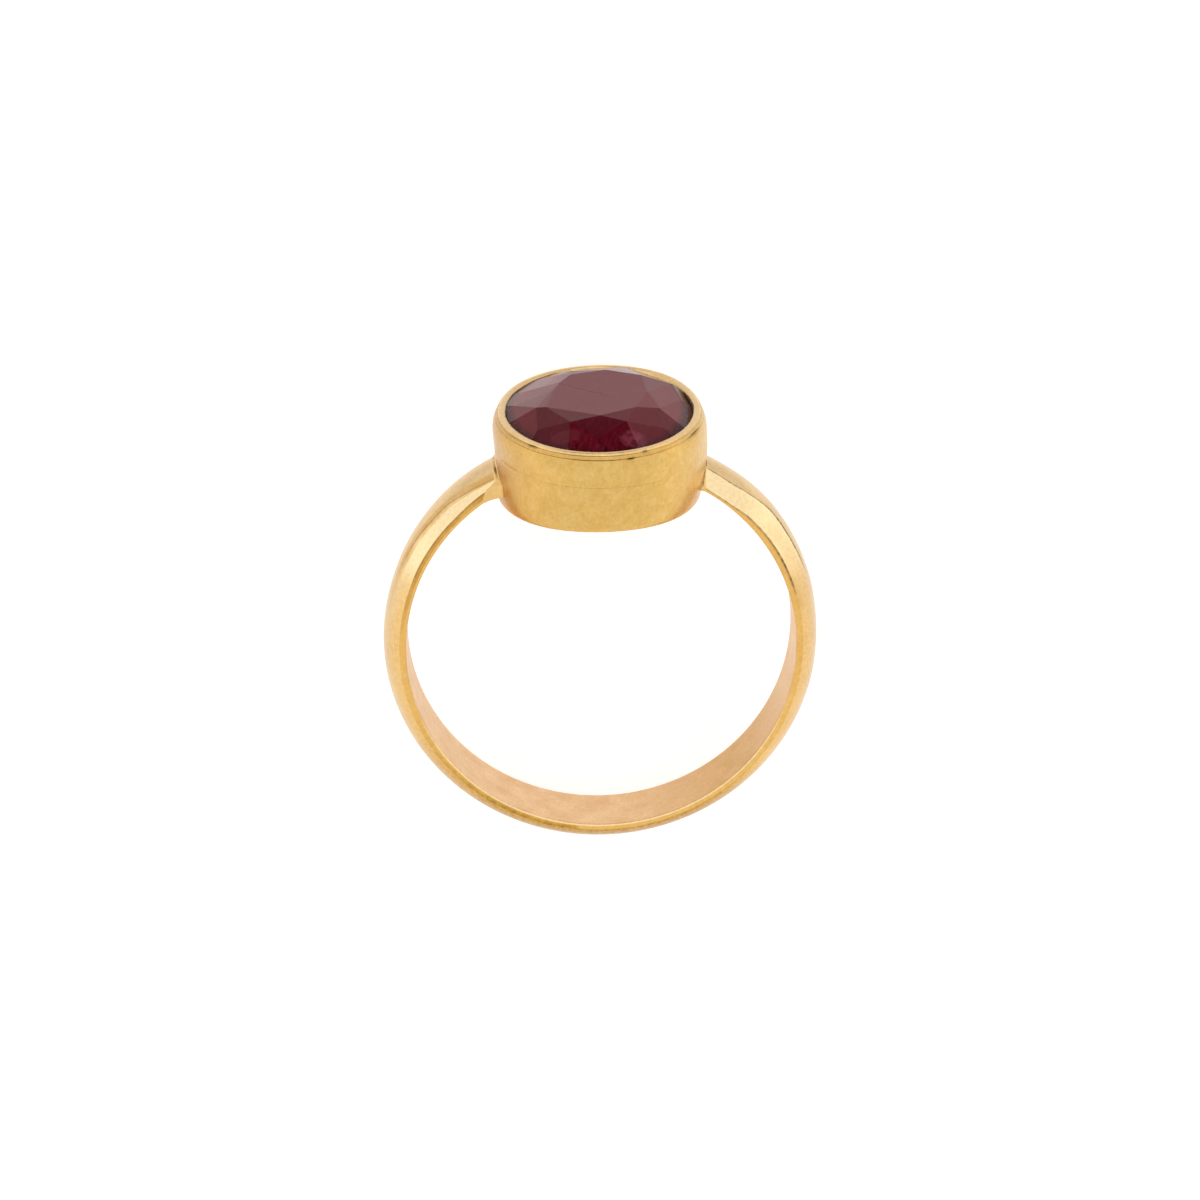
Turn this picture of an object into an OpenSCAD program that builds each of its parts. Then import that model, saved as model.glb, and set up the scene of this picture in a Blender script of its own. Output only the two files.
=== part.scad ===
// A gold finger ring with one oval ruby in a closed, rubbed-over bezel.
//
// The ring is drawn the way a goldsmith holds it: the finger goes through along Y,
// the middle of the finger hole is the origin and the stone is on top, at +Z.
// At the end lie_down() lays the whole ring on its side, as it rests on a table:
// it leans on the bezel's long end and on the far edge of the band.

/* [Band] */
// Inside diameter of the finger hole
inside_d = 17; // [14:0.1:21]
// Width of the band along the finger
band_w = 3.05; // [2.2:0.05:4.5]
// Thickness of the band at the middle of its dome
band_t = 1.05; // [0.8:0.05:1.6]
// Height of the plain side face between the inside edge and the dome
side_h = 0.3; // [0.2:0.05:0.5]

/* [Shoulders] */
// Angle above the ring's widest line where the filed bevels begin
bevel_start = 20; // [15:1:23]

/* [Stone] */
// Width of the stone across the finger
stone_w = 8.25; // [7:0.05:9]
// Length of the stone along the finger
stone_l = 11.1; // [10:0.05:12]
// Height of the crown, from the girdle to the table
crown_h = 0.83; // [0.81:0.01:0.95]
// Thickness of the girdle where it is thickest
girdle_t = 0.55; // [0.5:0.05:0.65]
// Depth of the pavilion under the girdle
pavilion_h = 2.2; // [1.6:0.05:2.3]

/* [Bezel] */
// Height of the rim above the middle of the finger hole
rim_z = 10.6; // [10.4:0.05:11.4]
// Height of the bezel from its back plate to its rim
bezel_h = 3.8; // [3.6:0.05:4]
// Thickness of the gold round the stone
wall_t = 0.4; // [0.3:0.05:0.6]
// How far the rim is rubbed over the edge of the stone
lip_over = 0.1; // [0.06:0.01:0.2]
// Width of the bezel at its back plate, across the finger
foot_w = 8.7; // [8:0.05:9]
// Length of the bezel at its back plate, along the finger
foot_l = 10; // [9:0.1:11]
// Thickness of the back plate
plate_t = 0.5; // [0.4:0.05:0.6]
// Width of the step that carries the stone
step_w = 0.45; // [0.3:0.05:0.6]

/* [Hidden] */
$fn = 96;

gold = [0.87, 0.7, 0.42];
ruby_red = [0.4, 0.12, 0.16];

// Gap between the stone and the gold
gap = 0.05;
// Long enough to pass right through anything here
far = 40;
// Sides of each oval
SIDES = 72;
inside_r = inside_d / 2;
outside_r = inside_r + band_t;
// How far the two inside edges are eased
ease = 0.03;
// Radius of the dome across the band
rise = band_t - side_h;
dome_r = (pow(band_w / 2, 2) + pow(rise, 2)) / (2 * rise);

// The shoulders, filed by hand. Each row is one cross-section: its angle above the ring's
// widest line, the thickness at the top of the dome, half the width of the dome that the
// bevels leave, the height of the side faces and how far the bevels are flat, from 0 to 1.
// The right one ends in a straight stroke of the file, and the left one stays rounder.
ANGLE = 0; THICK = 1; KEPT = 2; SIDE = 3; FILED = 4;
BEVEL_STEPS = 4;
DOME_STEPS = 4;
right_shoulder = [
    // ANGLE       THICK           KEPT  SIDE            FILED
    [bevel_start,  band_t,         0.62, side_h,         0],
    [24,           band_t + 0.03,  0.66, side_h + 0.02,  0.6],
    [28,           band_t + 0.04,  0.68, side_h + 0.03,  1],
    [32,           band_t + 0.05,  0.68, side_h + 0.03,  1],
    [36,           band_t + 0.06,  0.66, side_h + 0.02,  1],
    [40,           band_t + 0.06,  0.68, side_h,         1],
    [44,           band_t + 0.04,  0.79, side_h - 0.03,  1],
    [48,           band_t + 0.02,  0.88, side_h - 0.11,  1],
    [52,           band_t - 0.02,  0.94, side_h - 0.15,  1],
    [56,           band_t - 0.05,  0.90, side_h - 0.15,  1],
    [60,           band_t - 0.07,  0.86, side_h - 0.11,  1],
    [64,           band_t - 0.09,  0.82, side_h - 0.03,  1],
];
left_shoulder = [
    // ANGLE       THICK           KEPT  SIDE            FILED
    [bevel_start,  band_t,         0.72, side_h,         0],
    [24,           band_t - 0.04,  0.72, side_h + 0.02,  0.5],
    [28,           band_t - 0.03,  0.74, side_h + 0.03,  1],
    [34,           band_t - 0.02,  0.78, side_h + 0.03,  1],
    [40,           band_t - 0.01,  0.88, side_h + 0.03,  1],
    [46,           band_t,         0.93, side_h + 0.03,  1],
    [51,           band_t,         1.07, side_h + 0.07,  1],
    [56,           band_t - 0.01,  1.16, side_h + 0.10,  1],
    [60,           band_t - 0.03,  1.20, side_h + 0.10,  1],
    [64,           band_t - 0.05,  1.20, side_h + 0.10,  1],
];

// Heights of the bezel and the stone above the middle of the finger hole
lip_t = 0.08;
foot_z = rim_z - bezel_h;
plate_z = foot_z + plate_t;
crease_z = rim_z - 0.22;
belly_z = rim_z - 0.7;
girdle_top = rim_z - lip_t - 0.1;
girdle_bottom = girdle_top - girdle_t;
table_z = girdle_top + crown_h;
culet_z = girdle_bottom - pavilion_h;
step_z = girdle_bottom - 0.4;
seat_z = girdle_top + 0.02;

// Plan sizes of the bezel: its belly, the opening in its rim and the stone's seat
belly_w = stone_w + 2 * (gap + wall_t);
belly_l = stone_l + 2 * (gap + wall_t);
open_w = stone_w - 2 * lip_over;
open_l = stone_l - 2 * lip_over;
seat_w = stone_w + 2 * gap;
seat_l = stone_l + 2 * gap;

// The outside of the bezel, from its foot up to the edge of its rim
HEIGHT = 0; WIDTH = 1; LENGTH = 2;
bezel_outside = [
    // HEIGHT   WIDTH           LENGTH
    [foot_z,    foot_w,         foot_l],
    [belly_z,   belly_w,        belly_l],
    [crease_z,  belly_w - 0.2,  belly_l - 0.16],
    [rim_z,     open_w + 0.4,   open_l + 0.4],
];

// The inside of the bezel, from its plate up past the edge of its rim: the hollow under
// the stone, the step that carries it, its seat and the rim that is pressed over it
bezel_inside = [
    // HEIGHT         WIDTH                       LENGTH
    [plate_z,         seat_w - 2 * step_w - 0.3,  foot_l - 2 * (wall_t + step_w)],
    [step_z,          seat_w - 2 * step_w,        seat_l - 2 * step_w],
    [step_z,          seat_w,                     seat_l],
    [seat_z,          seat_w,                     seat_l],
    [rim_z - lip_t,   open_w,                     open_l],
    [rim_z + 1,       open_w,                     open_l],
];

// The crown of the stone, cut by eye. Each row is one corner of the table, going round
// from the front: where the corner is, which way its long facet faces, how far under the
// top of the girdle that facet would meet the girdle, where the facet ends, as an angle
// and a share of the way out, and how steep the star facet up to the next corner is.
X = 0; Y = 1; FACING = 2; UNDER = 3; END_ANGLE = 4; END = 5; STAR_SLOPE = 6;
crown = [
    // X      Y      FACING  UNDER  END_ANGLE  END   STAR_SLOPE
    [ 0.05,  -2.85,  -87,    0.22,  -92,       0.76,  11],
    [ 1.60,  -1.90,  -44,    0.17,  -38,       0.83,  16],
    [ 2.15,   0.10,   -6,    0.08,    4,       0.88,  18],
    [ 2.00,   2.30,   47,    0.02,   50,       0.93,  14],
    [ 0.50,   3.15,   94,    0,      94,       0.93,  10],
    [-1.05,   2.60,  139,    0.04,  137,       0.93,  19],
    [-1.60,   1.45,  161,    0.02,  180,       0.84,  12],
    [-2.22,  -1.62,  227,    0.17,  220,       0.82,   7],
];
CORNERS = len(crown);

// Points and planes of the stone. A plane is [normal, distance from the origin].
function unit(v) = v / norm(v);
function outward(n) = n[2] < 0 ? -n : n;
function corner(i) = [crown[i % CORNERS][X], crown[i % CORNERS][Y], table_z];
function facing(i) = crown[i % CORNERS][FACING] + 360 * floor(i / CORNERS);
function meets_at(i) = girdle_top - crown[i % CORNERS][UNDER];
function on_girdle(a, z) = [stone_w / 2 * cos(a), stone_l / 2 * sin(a), z];
function along_girdle(a) = [-stone_w * sin(a), stone_l * cos(a), 0];
function plane(n, p) = [unit(n), unit(n) * p];
function flipped(p) = [-p[0], -p[1]];
function through(a, b, c) = plane(outward(cross(b - a, c - a)), a);

// The long facet at corner i: its plane touches the girdle and runs up to the corner
function kite(i) = through(
    on_girdle(facing(i), meets_at(i)),
    on_girdle(facing(i), meets_at(i)) + along_girdle(facing(i)),
    corner(i));

// The star facet between corner i and the next one, at its own slope
function star(i) =
    let (edge = unit(corner(i + 1) - corner(i)), s = crown[i % CORNERS][STAR_SLOPE])
    plane([edge[Y] * sin(s), -edge[X] * sin(s), cos(s)], corner(i));

// The point where three planes meet
function meet(p, q, r) =
    (p[1] * cross(q[0], r[0]) + q[1] * cross(r[0], p[0]) + r[1] * cross(p[0], q[0]))
    / (p[0] * cross(q[0], r[0]));
function star_tip(i) = meet(kite(i), kite(i + 1), star(i));

// The two short facets under a star, down to the girdle. Each runs from the tip of the
// star to the end of the long facet beside it, and they meet half way along the girdle.
function height_on(p, x, y) = (p[1] - p[0][0] * x - p[0][1] * y) / p[0][2];
function end_of(i) =
    let (row = crown[i % CORNERS], p = row[END] * on_girdle(row[END_ANGLE], 0))
    [p[0], p[1], height_on(kite(i), p[0], p[1])];
function half_way(i) = on_girdle(
    (facing(i) + facing(i + 1)) / 2,
    (meets_at(i) + meets_at(i + 1)) / 2 - 0.03);
function girdle_facet(i, end) = through(star_tip(i), end_of(end), half_way(i));

// The flats underneath, two for each corner of the table: each touches the girdle
// and runs down to the culet
function underside(a) = flipped(through(
    on_girdle(a, girdle_bottom),
    on_girdle(a, girdle_bottom) + along_girdle(a),
    [0, 0, culet_z]));

facets = concat(
    [plane([0, 0, 1], [0, 0, table_z])],
    [for (i = [0:CORNERS - 1]) kite(i)],
    [for (i = [0:CORNERS - 1]) star(i)],
    [for (i = [0:CORNERS - 1]) girdle_facet(i, i)],
    [for (i = [0:CORNERS - 1]) girdle_facet(i, i + 1)],
    [for (k = [0:2 * CORNERS - 1]) underside(180 * k / CORNERS)]);

// Everything on the outer side of a plane
module beyond(p) {
    rotate([0, acos(p[0][2]), atan2(p[0][1], p[0][0])])
        translate([-far / 2, -far / 2, p[1]])
            cube(far);
}

// Grinds one facet after the other, as the cutter does
module ground(planes, k = 0) {
    if (k == len(planes))
        children();
    else
        difference() {
            ground(planes, k + 1) children();
            beyond(planes[k]);
        }
}

// An upright wall on an oval plan, flat above and below
module oval(width, length, height) {
    linear_extrude(height)
        polygon([
            for (k = [0:SIDES - 1])
                [width / 2 * cos(360 * k / SIDES), length / 2 * sin(360 * k / SIDES)]
        ]);
}

// A solid skinned over ovals, one for each row of [HEIGHT, WIDTH, LENGTH]
module skin(rows) {
    points = [
        for (row = rows, k = [0:SIDES - 1])
            [row[WIDTH] / 2 * cos(360 * k / SIDES),
             row[LENGTH] / 2 * sin(360 * k / SIDES),
             row[HEIGHT]]
    ];
    sides = [
        for (j = [0:len(rows) - 2], k = [0:SIDES - 1], half = [0, 1])
            let (a = j * SIDES + k, b = j * SIDES + (k + 1) % SIDES)
                half == 0 ? [a, a + SIDES, b] : [b, a + SIDES, b + SIDES]
    ];
    bottom = [for (k = [0:SIDES - 1]) k];
    top = [for (k = [SIDES - 1:-1:0]) (len(rows) - 1) * SIDES + k];
    polyhedron(points, concat([bottom], sides, [top]));
}

// One cross-section of the band, from one side face over the dome to the other. Each
// point is [radius, along the finger].
function dome_at(y, row) =
    inside_r + row[THICK] - dome_r + sqrt(dome_r * dome_r - y * y);
function bevelled(row) = [
    for (k = [0:BEVEL_STEPS - 1])
        let (
            part = k / BEVEL_STEPS,
            y = band_w / 2 + (row[KEPT] - band_w / 2) * part,
            edge = inside_r + row[SIDE],
            flat = edge + (dome_at(row[KEPT], row) - edge) * part,
            full = max(flat, dome_at(y, row))
        )
        [full + (flat - full) * row[FILED], y]
];
function domed(row) = [
    for (k = [0:DOME_STEPS])
        let (y = row[KEPT] * (1 - k / DOME_STEPS))
        [dome_at(y, row), y]
];
function half_section(row) =
    concat([[inside_r + ease, band_w / 2]], bevelled(row), domed(row));
function other_half(points) =
    [for (k = [len(points) - 2:-1:0]) [points[k][0], -points[k][1]]];
function section(row) = concat(half_section(row), other_half(half_section(row)));

// The cross-sections of the whole band, from the left shoulder round the bottom, which
// is plain, to the right shoulder. The steps are an odd number, so that the lying ring
// rests on a short straight edge at the bottom of the band and not on a point.
PLAIN_STEPS = 55;
plain_from = 180 - bevel_start;
plain_turn = 180 + 2 * bevel_start;
function at_angle(angle, row) =
    [angle, row[THICK], row[KEPT], row[SIDE], row[FILED]];
band_rows = concat(
    [for (k = [len(left_shoulder) - 1:-1:0])
        at_angle(180 - left_shoulder[k][ANGLE], left_shoulder[k])],
    [for (k = [1:PLAIN_STEPS - 1])
        [plain_from + plain_turn * k / PLAIN_STEPS, band_t, 0.67, side_h, 0]],
    [for (row = right_shoulder) at_angle(360 + row[ANGLE], row)]);

// The smooth round face that the finger touches, a little narrower than the band
module inner_face() {
    from = band_rows[0][ANGLE] + 0.5;
    to = band_rows[len(band_rows) - 1][ANGLE] - 0.5;
    rotate([90, 0, 0])
        rotate_extrude(angle = to - from, start = from)
            translate([inside_r, ease - band_w / 2])
                square([0.1, band_w - 2 * ease]);
}

// The band, skinned over its cross-sections round the finger hole
module band() {
    count = len(section(band_rows[0]));
    points = [
        for (row = band_rows, p = section(row))
            [p[0] * cos(row[ANGLE]), p[1], p[0] * sin(row[ANGLE])]
    ];
    sides = [
        for (j = [0:len(band_rows) - 2], k = [0:count - 1], part = [0, 1])
            let (a = j * count + k, b = j * count + (k + 1) % count)
                part == 0 ? [a, b, a + count] : [b, b + count, a + count]
    ];
    first = [for (k = [count - 1:-1:0]) k];
    last = [for (k = [0:count - 1]) (len(band_rows) - 1) * count + k];
    polyhedron(points, concat([first], sides, [last]));
    inner_face();
}

// The cup: a tapered oval wall with the rim rubbed over and a plate underneath
module cup_outside() {
    skin(bezel_outside);
}

module cup_inside() {
    skin(bezel_inside);
}

module gold_setting() {
    color(gold)
        difference() {
            union() {
                band();
                cup_outside();
            }
            cup_inside();
        }
}

module ruby() {
    color(ruby_red)
        ground(facets)
            translate([0, 0, culet_z - 1])
                oval(stone_w, stone_l, table_z - culet_z + 2);
}

// At rest the ring leans on two points: the bezel's long end, where it bulges most,
// and the far edge of the band, half a turn away. The lean is the angle between them.
edge_y = band_w / 2;
edge_z = -(inside_r + side_h);
lean = max([
    for (row = bezel_outside)
        atan((row[LENGTH] / 2 - edge_y) / (row[HEIGHT] - edge_z))
]);
rest_h = edge_y * cos(lean) - edge_z * sin(lean);

// How far the lying ring reaches along Y, to put its middle over the origin
function reach(y, z) = y * sin(lean) + z * cos(lean);
stone_end = max(concat(
    [for (c = crown) reach(c[Y], table_z)],
    [reach(open_l / 2 + 0.2, rim_z)]));
band_end = reach(0, dome_r - outside_r) - dome_r;
middle_y = (stone_end + band_end) / 2;

module lie_down() {
    translate([0, -middle_y, rest_h])
        rotate([lean - 90, 0, 0])
            children();
}

lie_down() gold_setting();
lie_down() ruby();
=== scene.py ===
# %% [markdown]
# # A gold finger ring with an oval ruby
# The real ring is handwork: a strip of gold bent round and domed on its outside, two
# shoulders shaped with a file, and an oval cup of sheet gold, which jewellers call a
# bezel, whose upper edge is rubbed over the stone. Here the measured frame is loaded
# first, and every piece is then modelled over the solid that it stands for.

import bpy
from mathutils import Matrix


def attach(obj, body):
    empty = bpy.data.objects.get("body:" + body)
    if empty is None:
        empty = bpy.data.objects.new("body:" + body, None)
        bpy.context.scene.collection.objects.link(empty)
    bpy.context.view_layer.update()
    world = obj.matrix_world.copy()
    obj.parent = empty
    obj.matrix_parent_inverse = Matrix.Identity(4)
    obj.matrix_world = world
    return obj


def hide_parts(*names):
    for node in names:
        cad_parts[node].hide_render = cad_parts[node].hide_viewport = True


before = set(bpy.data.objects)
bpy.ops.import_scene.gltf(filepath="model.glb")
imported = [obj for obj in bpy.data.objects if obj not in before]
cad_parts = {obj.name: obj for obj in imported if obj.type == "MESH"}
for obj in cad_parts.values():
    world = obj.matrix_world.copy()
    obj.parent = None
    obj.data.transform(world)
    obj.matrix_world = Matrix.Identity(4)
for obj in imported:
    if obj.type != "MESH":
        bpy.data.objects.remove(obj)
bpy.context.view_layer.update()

# %% [markdown]
# The rest of the script needs Blender's own modules. Everything starts deselected,
# because operators work on whatever is selected, and the frame arrives selected.

# %% Modules and a clean selection
import math
from collections import namedtuple

import bpy
from mathutils import Matrix, Vector

bpy.ops.object.select_all(action="DESELECT")

# %% [markdown]
# A ring is easiest to think about as the goldsmith holds it: the finger goes through
# along Y, the middle of the hole is the origin, and the stone is on top. The pieces
# are modelled like that in millimetres. On a table the ring leans over and rests on
# the bezel's long end and on the far edge of the band, so the last thing done to each
# piece is to lay it down: one turn, one small shift and millimetres into metres. The
# shift brings the middle of the lying ring over the frame's origin.

# %% Sizes of the ring, and how it lies
MM = 0.001
INSIDE_R = 8.5
BAND_W = 3.05
BAND_T = 1.05
SIDE_H = 0.3
RISE = BAND_T - SIDE_H
DOME_R = ((BAND_W / 2) ** 2 + RISE ** 2) / (2 * RISE)
BELLY_Z = 9.9
BELLY_L = 12.0
EDGE_Y = BAND_W / 2
EDGE_Z = INSIDE_R + SIDE_H
LEAN = math.atan((BELLY_L / 2 - EDGE_Y) / (BELLY_Z + EDGE_Z))
REST_H = EDGE_Y * math.cos(LEAN) + EDGE_Z * math.sin(LEAN)
MIDDLE_Y = 1.16678
LYING = (
    Matrix.Translation((0, -MIDDLE_Y * MM, REST_H * MM))
    @ Matrix.Rotation(LEAN - math.radians(90), 4, "X")
    @ Matrix.Scale(MM, 4)
)
print("the ring leans", round(math.degrees(LEAN), 2), "degrees from lying flat")


def only(piece):
    """Selects one piece and nothing else, and makes it the active one."""
    bpy.ops.object.select_all(action="DESELECT")
    piece.select_set(True)
    bpy.context.view_layer.objects.active = piece


def lay_down(piece):
    """Lays a finished piece on the floor and puts its place into its mesh."""
    only(piece)
    piece.matrix_world = LYING
    bpy.ops.object.transform_apply(location=True, rotation=True, scale=True)


# %% [markdown]
# The camera comes early, so that each piece can be looked at as it is made. It looks
# down at the lying ring from almost straight above, because in the picture the ring
# seems to stand up in front of us. It is close, 140 mm away, so the near end of the
# bezel looks larger than the far end, as it does in a close-up.

# %% The camera
VIEW = {"up": 22.544, "side": -1.69, "roll": -0.86}
FROM_MM = 140.0
SENSOR_MM = 36.0
PX_PER_MM = 22.725
PICTURE_PX = 1200
RING_AT_PX = (600.493, 635.723)


def ring_camera():
    """Places the camera round the upright ring, then lays it down with the ring."""
    up, side, roll = (math.radians(VIEW[k]) for k in ("up", "side", "roll"))
    back = Vector((math.sin(side) * math.cos(up), -math.cos(side) * math.cos(up), math.sin(up)))
    right = (-back).cross(Vector((0, 0, 1))).normalized()
    above = right.cross(-back)
    right, above = (
        math.cos(roll) * right + math.sin(roll) * above,
        math.cos(roll) * above - math.sin(roll) * right,
    )
    shift_x = (RING_AT_PX[0] - PICTURE_PX / 2) / PX_PER_MM
    shift_y = (PICTURE_PX / 2 - RING_AT_PX[1]) / PX_PER_MM
    place = FROM_MM * back - shift_x * right - shift_y * above
    turn = Matrix((right, above, back)).transposed().to_4x4()
    upright = Matrix.Translation(place) @ turn
    bpy.ops.object.camera_add()
    camera = bpy.context.object
    camera.name = "close_up_camera"
    lying = LYING @ upright
    camera.matrix_world = Matrix.Translation(lying.translation) @ (
        lying.to_quaternion().to_matrix().to_4x4()
    )
    camera.data.sensor_fit = "HORIZONTAL"
    camera.data.sensor_width = SENSOR_MM
    camera.data.lens = SENSOR_MM * PX_PER_MM * FROM_MM / PICTURE_PX
    camera.data.clip_start = 0.005
    camera.data.clip_end = 20.0
    bpy.context.scene.camera = camera
    return camera


camera = ring_camera()
print("camera", [round(c, 4) for c in camera.location], "lens", round(camera.data.lens, 2))

# %% [markdown]
# Two small helpers serve every material. One turns a web colour, which is easy to
# read and to pick, into the linear numbers that the renderer works with. The other
# adds one node and fills its inputs, either with a value or with another node's
# output, so that a material can be read from top to bottom like a recipe.


# %% Helpers for colours and nodes
def linear(code, alpha=1.0):
    """A colour such as C89A4B as linear red, green and blue."""
    parts = [int(code[i:i + 2], 16) / 255 for i in (0, 2, 4)]
    return tuple(
        c / 12.92 if c <= 0.04045 else ((c + 0.055) / 1.055) ** 2.4 for c in parts
    ) + (alpha,)


def add(tree, kind, inputs=None, **settings):
    """Adds a node, sets its settings, and fills or links its inputs."""
    new = tree.nodes.new(kind)
    for name, value in settings.items():
        setattr(new, name, value)
    for name, value in (inputs or {}).items():
        socket = new.inputs[name]
        if isinstance(value, bpy.types.NodeSocket):
            tree.links.new(value, socket)
        else:
            socket.default_value = value
    return new


def empty_material(name):
    """A new material with nothing in it but its output."""
    material = bpy.data.materials.new(name)
    material.use_nodes = True
    tree = material.node_tree
    tree.nodes.clear()
    return material, tree, tree.nodes.new("ShaderNodeOutputMaterial")


print("warm gold in linear numbers:", [round(c, 3) for c in linear("E1B770")])

# %% [markdown]
# ## The band
# The band is flat inside and domed outside. Near the stone the goldsmith filed a flat
# bevel on each side of the dome. Nobody files two shoulders alike: on this ring the
# right one has straight, crisp strokes, and the left one is rounder. The shape could
# be carved from a finished torus, but it is simpler to describe the cross-section at
# a few angles in a table, and to read smooth curves through the table in between.

# %% The shoulders as tables of cross-sections
ANGLE, THICK, KEPT, SIDE, FILED, SOFT = range(6)
RIGHT_SHOULDER = [
    # ANGLE THICK  KEPT  SIDE  FILED SOFT   degrees above the widest line, then mm, but
    # FILED is a share: nothing where the dome is whole, one where the bevel is flat
    (-14, 1.042, 0.67, 0.30, 0.0, 0.10),
    (-4, 1.02, 0.66, 0.30, 0.0, 0.10),
    (8, 1.02, 0.64, 0.30, 0.0, 0.10),
    (14, 1.05, 0.62, 0.30, 0.0, 0.10),
    (20, 1.06, 0.62, 0.31, 0.25, 0.08),
    (24, 1.08, 0.66, 0.32, 0.7, 0.06),
    (28, 1.09, 0.68, 0.33, 1.0, 0.04),
    (32, 1.10, 0.68, 0.33, 1.0, 0.04),
    (36, 1.11, 0.66, 0.32, 1.0, 0.04),
    (40, 1.11, 0.68, 0.30, 1.0, 0.04),
    (44, 1.09, 0.79, 0.27, 1.0, 0.04),
    (48, 1.07, 0.88, 0.19, 1.0, 0.04),
    (52, 1.03, 0.94, 0.15, 1.0, 0.04),
    (56, 1.00, 0.90, 0.15, 1.0, 0.04),
    (60, 0.98, 0.86, 0.19, 1.0, 0.04),
    (64, 0.96, 0.82, 0.27, 1.0, 0.04),
]
LEFT_SHOULDER = [
    # ANGLE THICK  KEPT  SIDE  FILED SOFT
    (-14, 1.042, 0.67, 0.30, 0.0, 0.10),
    (0, 1.03, 0.69, 0.30, 0.0, 0.12),
    (10, 1.01, 0.71, 0.30, 0.0, 0.14),
    (20, 1.00, 0.72, 0.30, 0.2, 0.16),
    (24, 1.01, 0.72, 0.32, 0.6, 0.16),
    (28, 1.02, 0.74, 0.33, 1.0, 0.16),
    (34, 1.03, 0.78, 0.33, 1.0, 0.16),
    (40, 1.04, 0.88, 0.33, 1.0, 0.14),
    (46, 1.05, 0.93, 0.33, 1.0, 0.12),
    (51, 1.05, 1.07, 0.37, 1.0, 0.10),
    (56, 1.04, 1.16, 0.40, 1.0, 0.08),
    (60, 1.02, 1.20, 0.40, 1.0, 0.08),
    (64, 1.00, 1.20, 0.40, 1.0, 0.08),
]
BAND_FROM, LOWEST, BAND_TO = 116, 270, 424


def read(table, angle, column):
    """One column of a table at any angle, on a smooth curve through its rows."""
    rows = [(row[ANGLE], row[column]) for row in table]
    if angle <= rows[0][0]:
        return rows[0][1]
    if angle >= rows[-1][0]:
        return rows[-1][1]
    i = max(k for k in range(len(rows) - 1) if rows[k][0] <= angle)

    def slope(k):
        if k == 0 or k == len(rows) - 1:
            return 0.0
        return (rows[k + 1][1] - rows[k - 1][1]) / (rows[k + 1][0] - rows[k - 1][0])

    wide = rows[i + 1][0] - rows[i][0]
    t = (angle - rows[i][0]) / wide
    start, end = rows[i][1], rows[i + 1][1]
    return (
        (2 * t ** 3 - 3 * t ** 2 + 1) * start
        + (t ** 3 - 2 * t ** 2 + t) * wide * slope(i)
        + (3 * t ** 2 - 2 * t ** 3) * end
        + (t ** 3 - t ** 2) * wide * slope(i + 1)
    )


Cut = namedtuple("Cut", "thick kept side filed soft")


def cut_at(turn):
    """The cross-section's numbers at a place round the band, in degrees of turn."""
    table, above = (RIGHT_SHOULDER, turn - 360) if turn > LOWEST else (LEFT_SHOULDER, 180 - turn)
    return Cut(*(read(table, above, c) for c in (THICK, KEPT, SIDE, FILED, SOFT)))


print("right shoulder at 45 degrees:", [round(v, 3) for v in cut_at(405)])

# %% [markdown]
# One cross-section is a closed line of points that always has the same number of
# points in the same order, so that neighbouring sections join neatly. It runs from
# the middle of the inside over the eased inner edge, up the side face, along the
# filed bevel and over the dome to the top, and the other half mirrors it. Sharp
# corners are replaced by short curves, because a real edge always catches the light.

# %% The cross-section
STEPS = {"inside": 6, "eased": 5, "side": 3, "edge": 5, "bevel": 8, "crease": 6, "dome": 8}
EASED = 0.13
EASED_UP = EASED * 0.8
SIDE_EASED = 0.04
BEVEL_EASED = 0.05


def dome(y, cut):
    """Radius of the dome at a distance y from the middle of the band."""
    return INSIDE_R + cut.thick - DOME_R + math.sqrt(DOME_R ** 2 - y * y)


def bevel(part, cut):
    """A point on the bevel, from the side face (0) to the dome (1)."""
    y = EDGE_Y + (cut.kept - EDGE_Y) * part
    low = INSIDE_R + cut.side
    flat = low + (dome(cut.kept, cut) - low) * part
    full = max(flat, dome(y, cut))
    return Vector((full + (flat - full) * cut.filed, y))


def corner(before, at, after, steps):
    """A short curve that replaces a corner, without its last point."""
    ts = [k / steps for k in range(steps)]
    return [before * (1 - t) ** 2 + at * 2 * t * (1 - t) + after * t * t for t in ts]


def line(start, end, steps):
    """Evenly spaced points on a line, without its last point."""
    return [start.lerp(end, k / steps) for k in range(steps)]


def half_section(cut):
    """Points from the middle of the inside to the top of the dome, as (radius, y)."""
    low = INSIDE_R + cut.side
    inner = Vector((INSIDE_R, EDGE_Y))
    outer = Vector((low, EDGE_Y))
    crest = bevel(1, cut)
    long = (crest - outer).length
    first, last = BEVEL_EASED / long, 1 - cut.soft / long
    over = cut.kept - cut.soft
    after_crest = Vector((dome(over, cut), over))
    before_inner, after_inner = inner - Vector((0, EASED)), inner + Vector((EASED_UP, 0))
    before_outer = outer - Vector((SIDE_EASED, 0))
    points = line(Vector((INSIDE_R, 0)), before_inner, STEPS["inside"])
    points += corner(before_inner, inner, after_inner, STEPS["eased"])
    points += line(after_inner, before_outer, STEPS["side"])
    points += corner(before_outer, outer, bevel(first, cut), STEPS["edge"])
    points += [
        bevel(first + (last - first) * k / STEPS["bevel"], cut) for k in range(STEPS["bevel"])
    ]
    points += corner(bevel(last, cut), crest, after_crest, STEPS["crease"])
    points += [
        Vector((dome(over * (1 - k / STEPS["dome"]), cut), over * (1 - k / STEPS["dome"])))
        for k in range(STEPS["dome"] + 1)
    ]
    return points


def section(cut):
    """The whole closed cross-section."""
    half = half_section(cut)
    other = [Vector((p[0], -p[1])) for p in half[-2:0:-1]]
    return half + other


HALF = len(half_section(cut_at(LOWEST)))
SECTION = len(section(cut_at(LOWEST)))
print("points in a cross-section:", SECTION)

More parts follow.
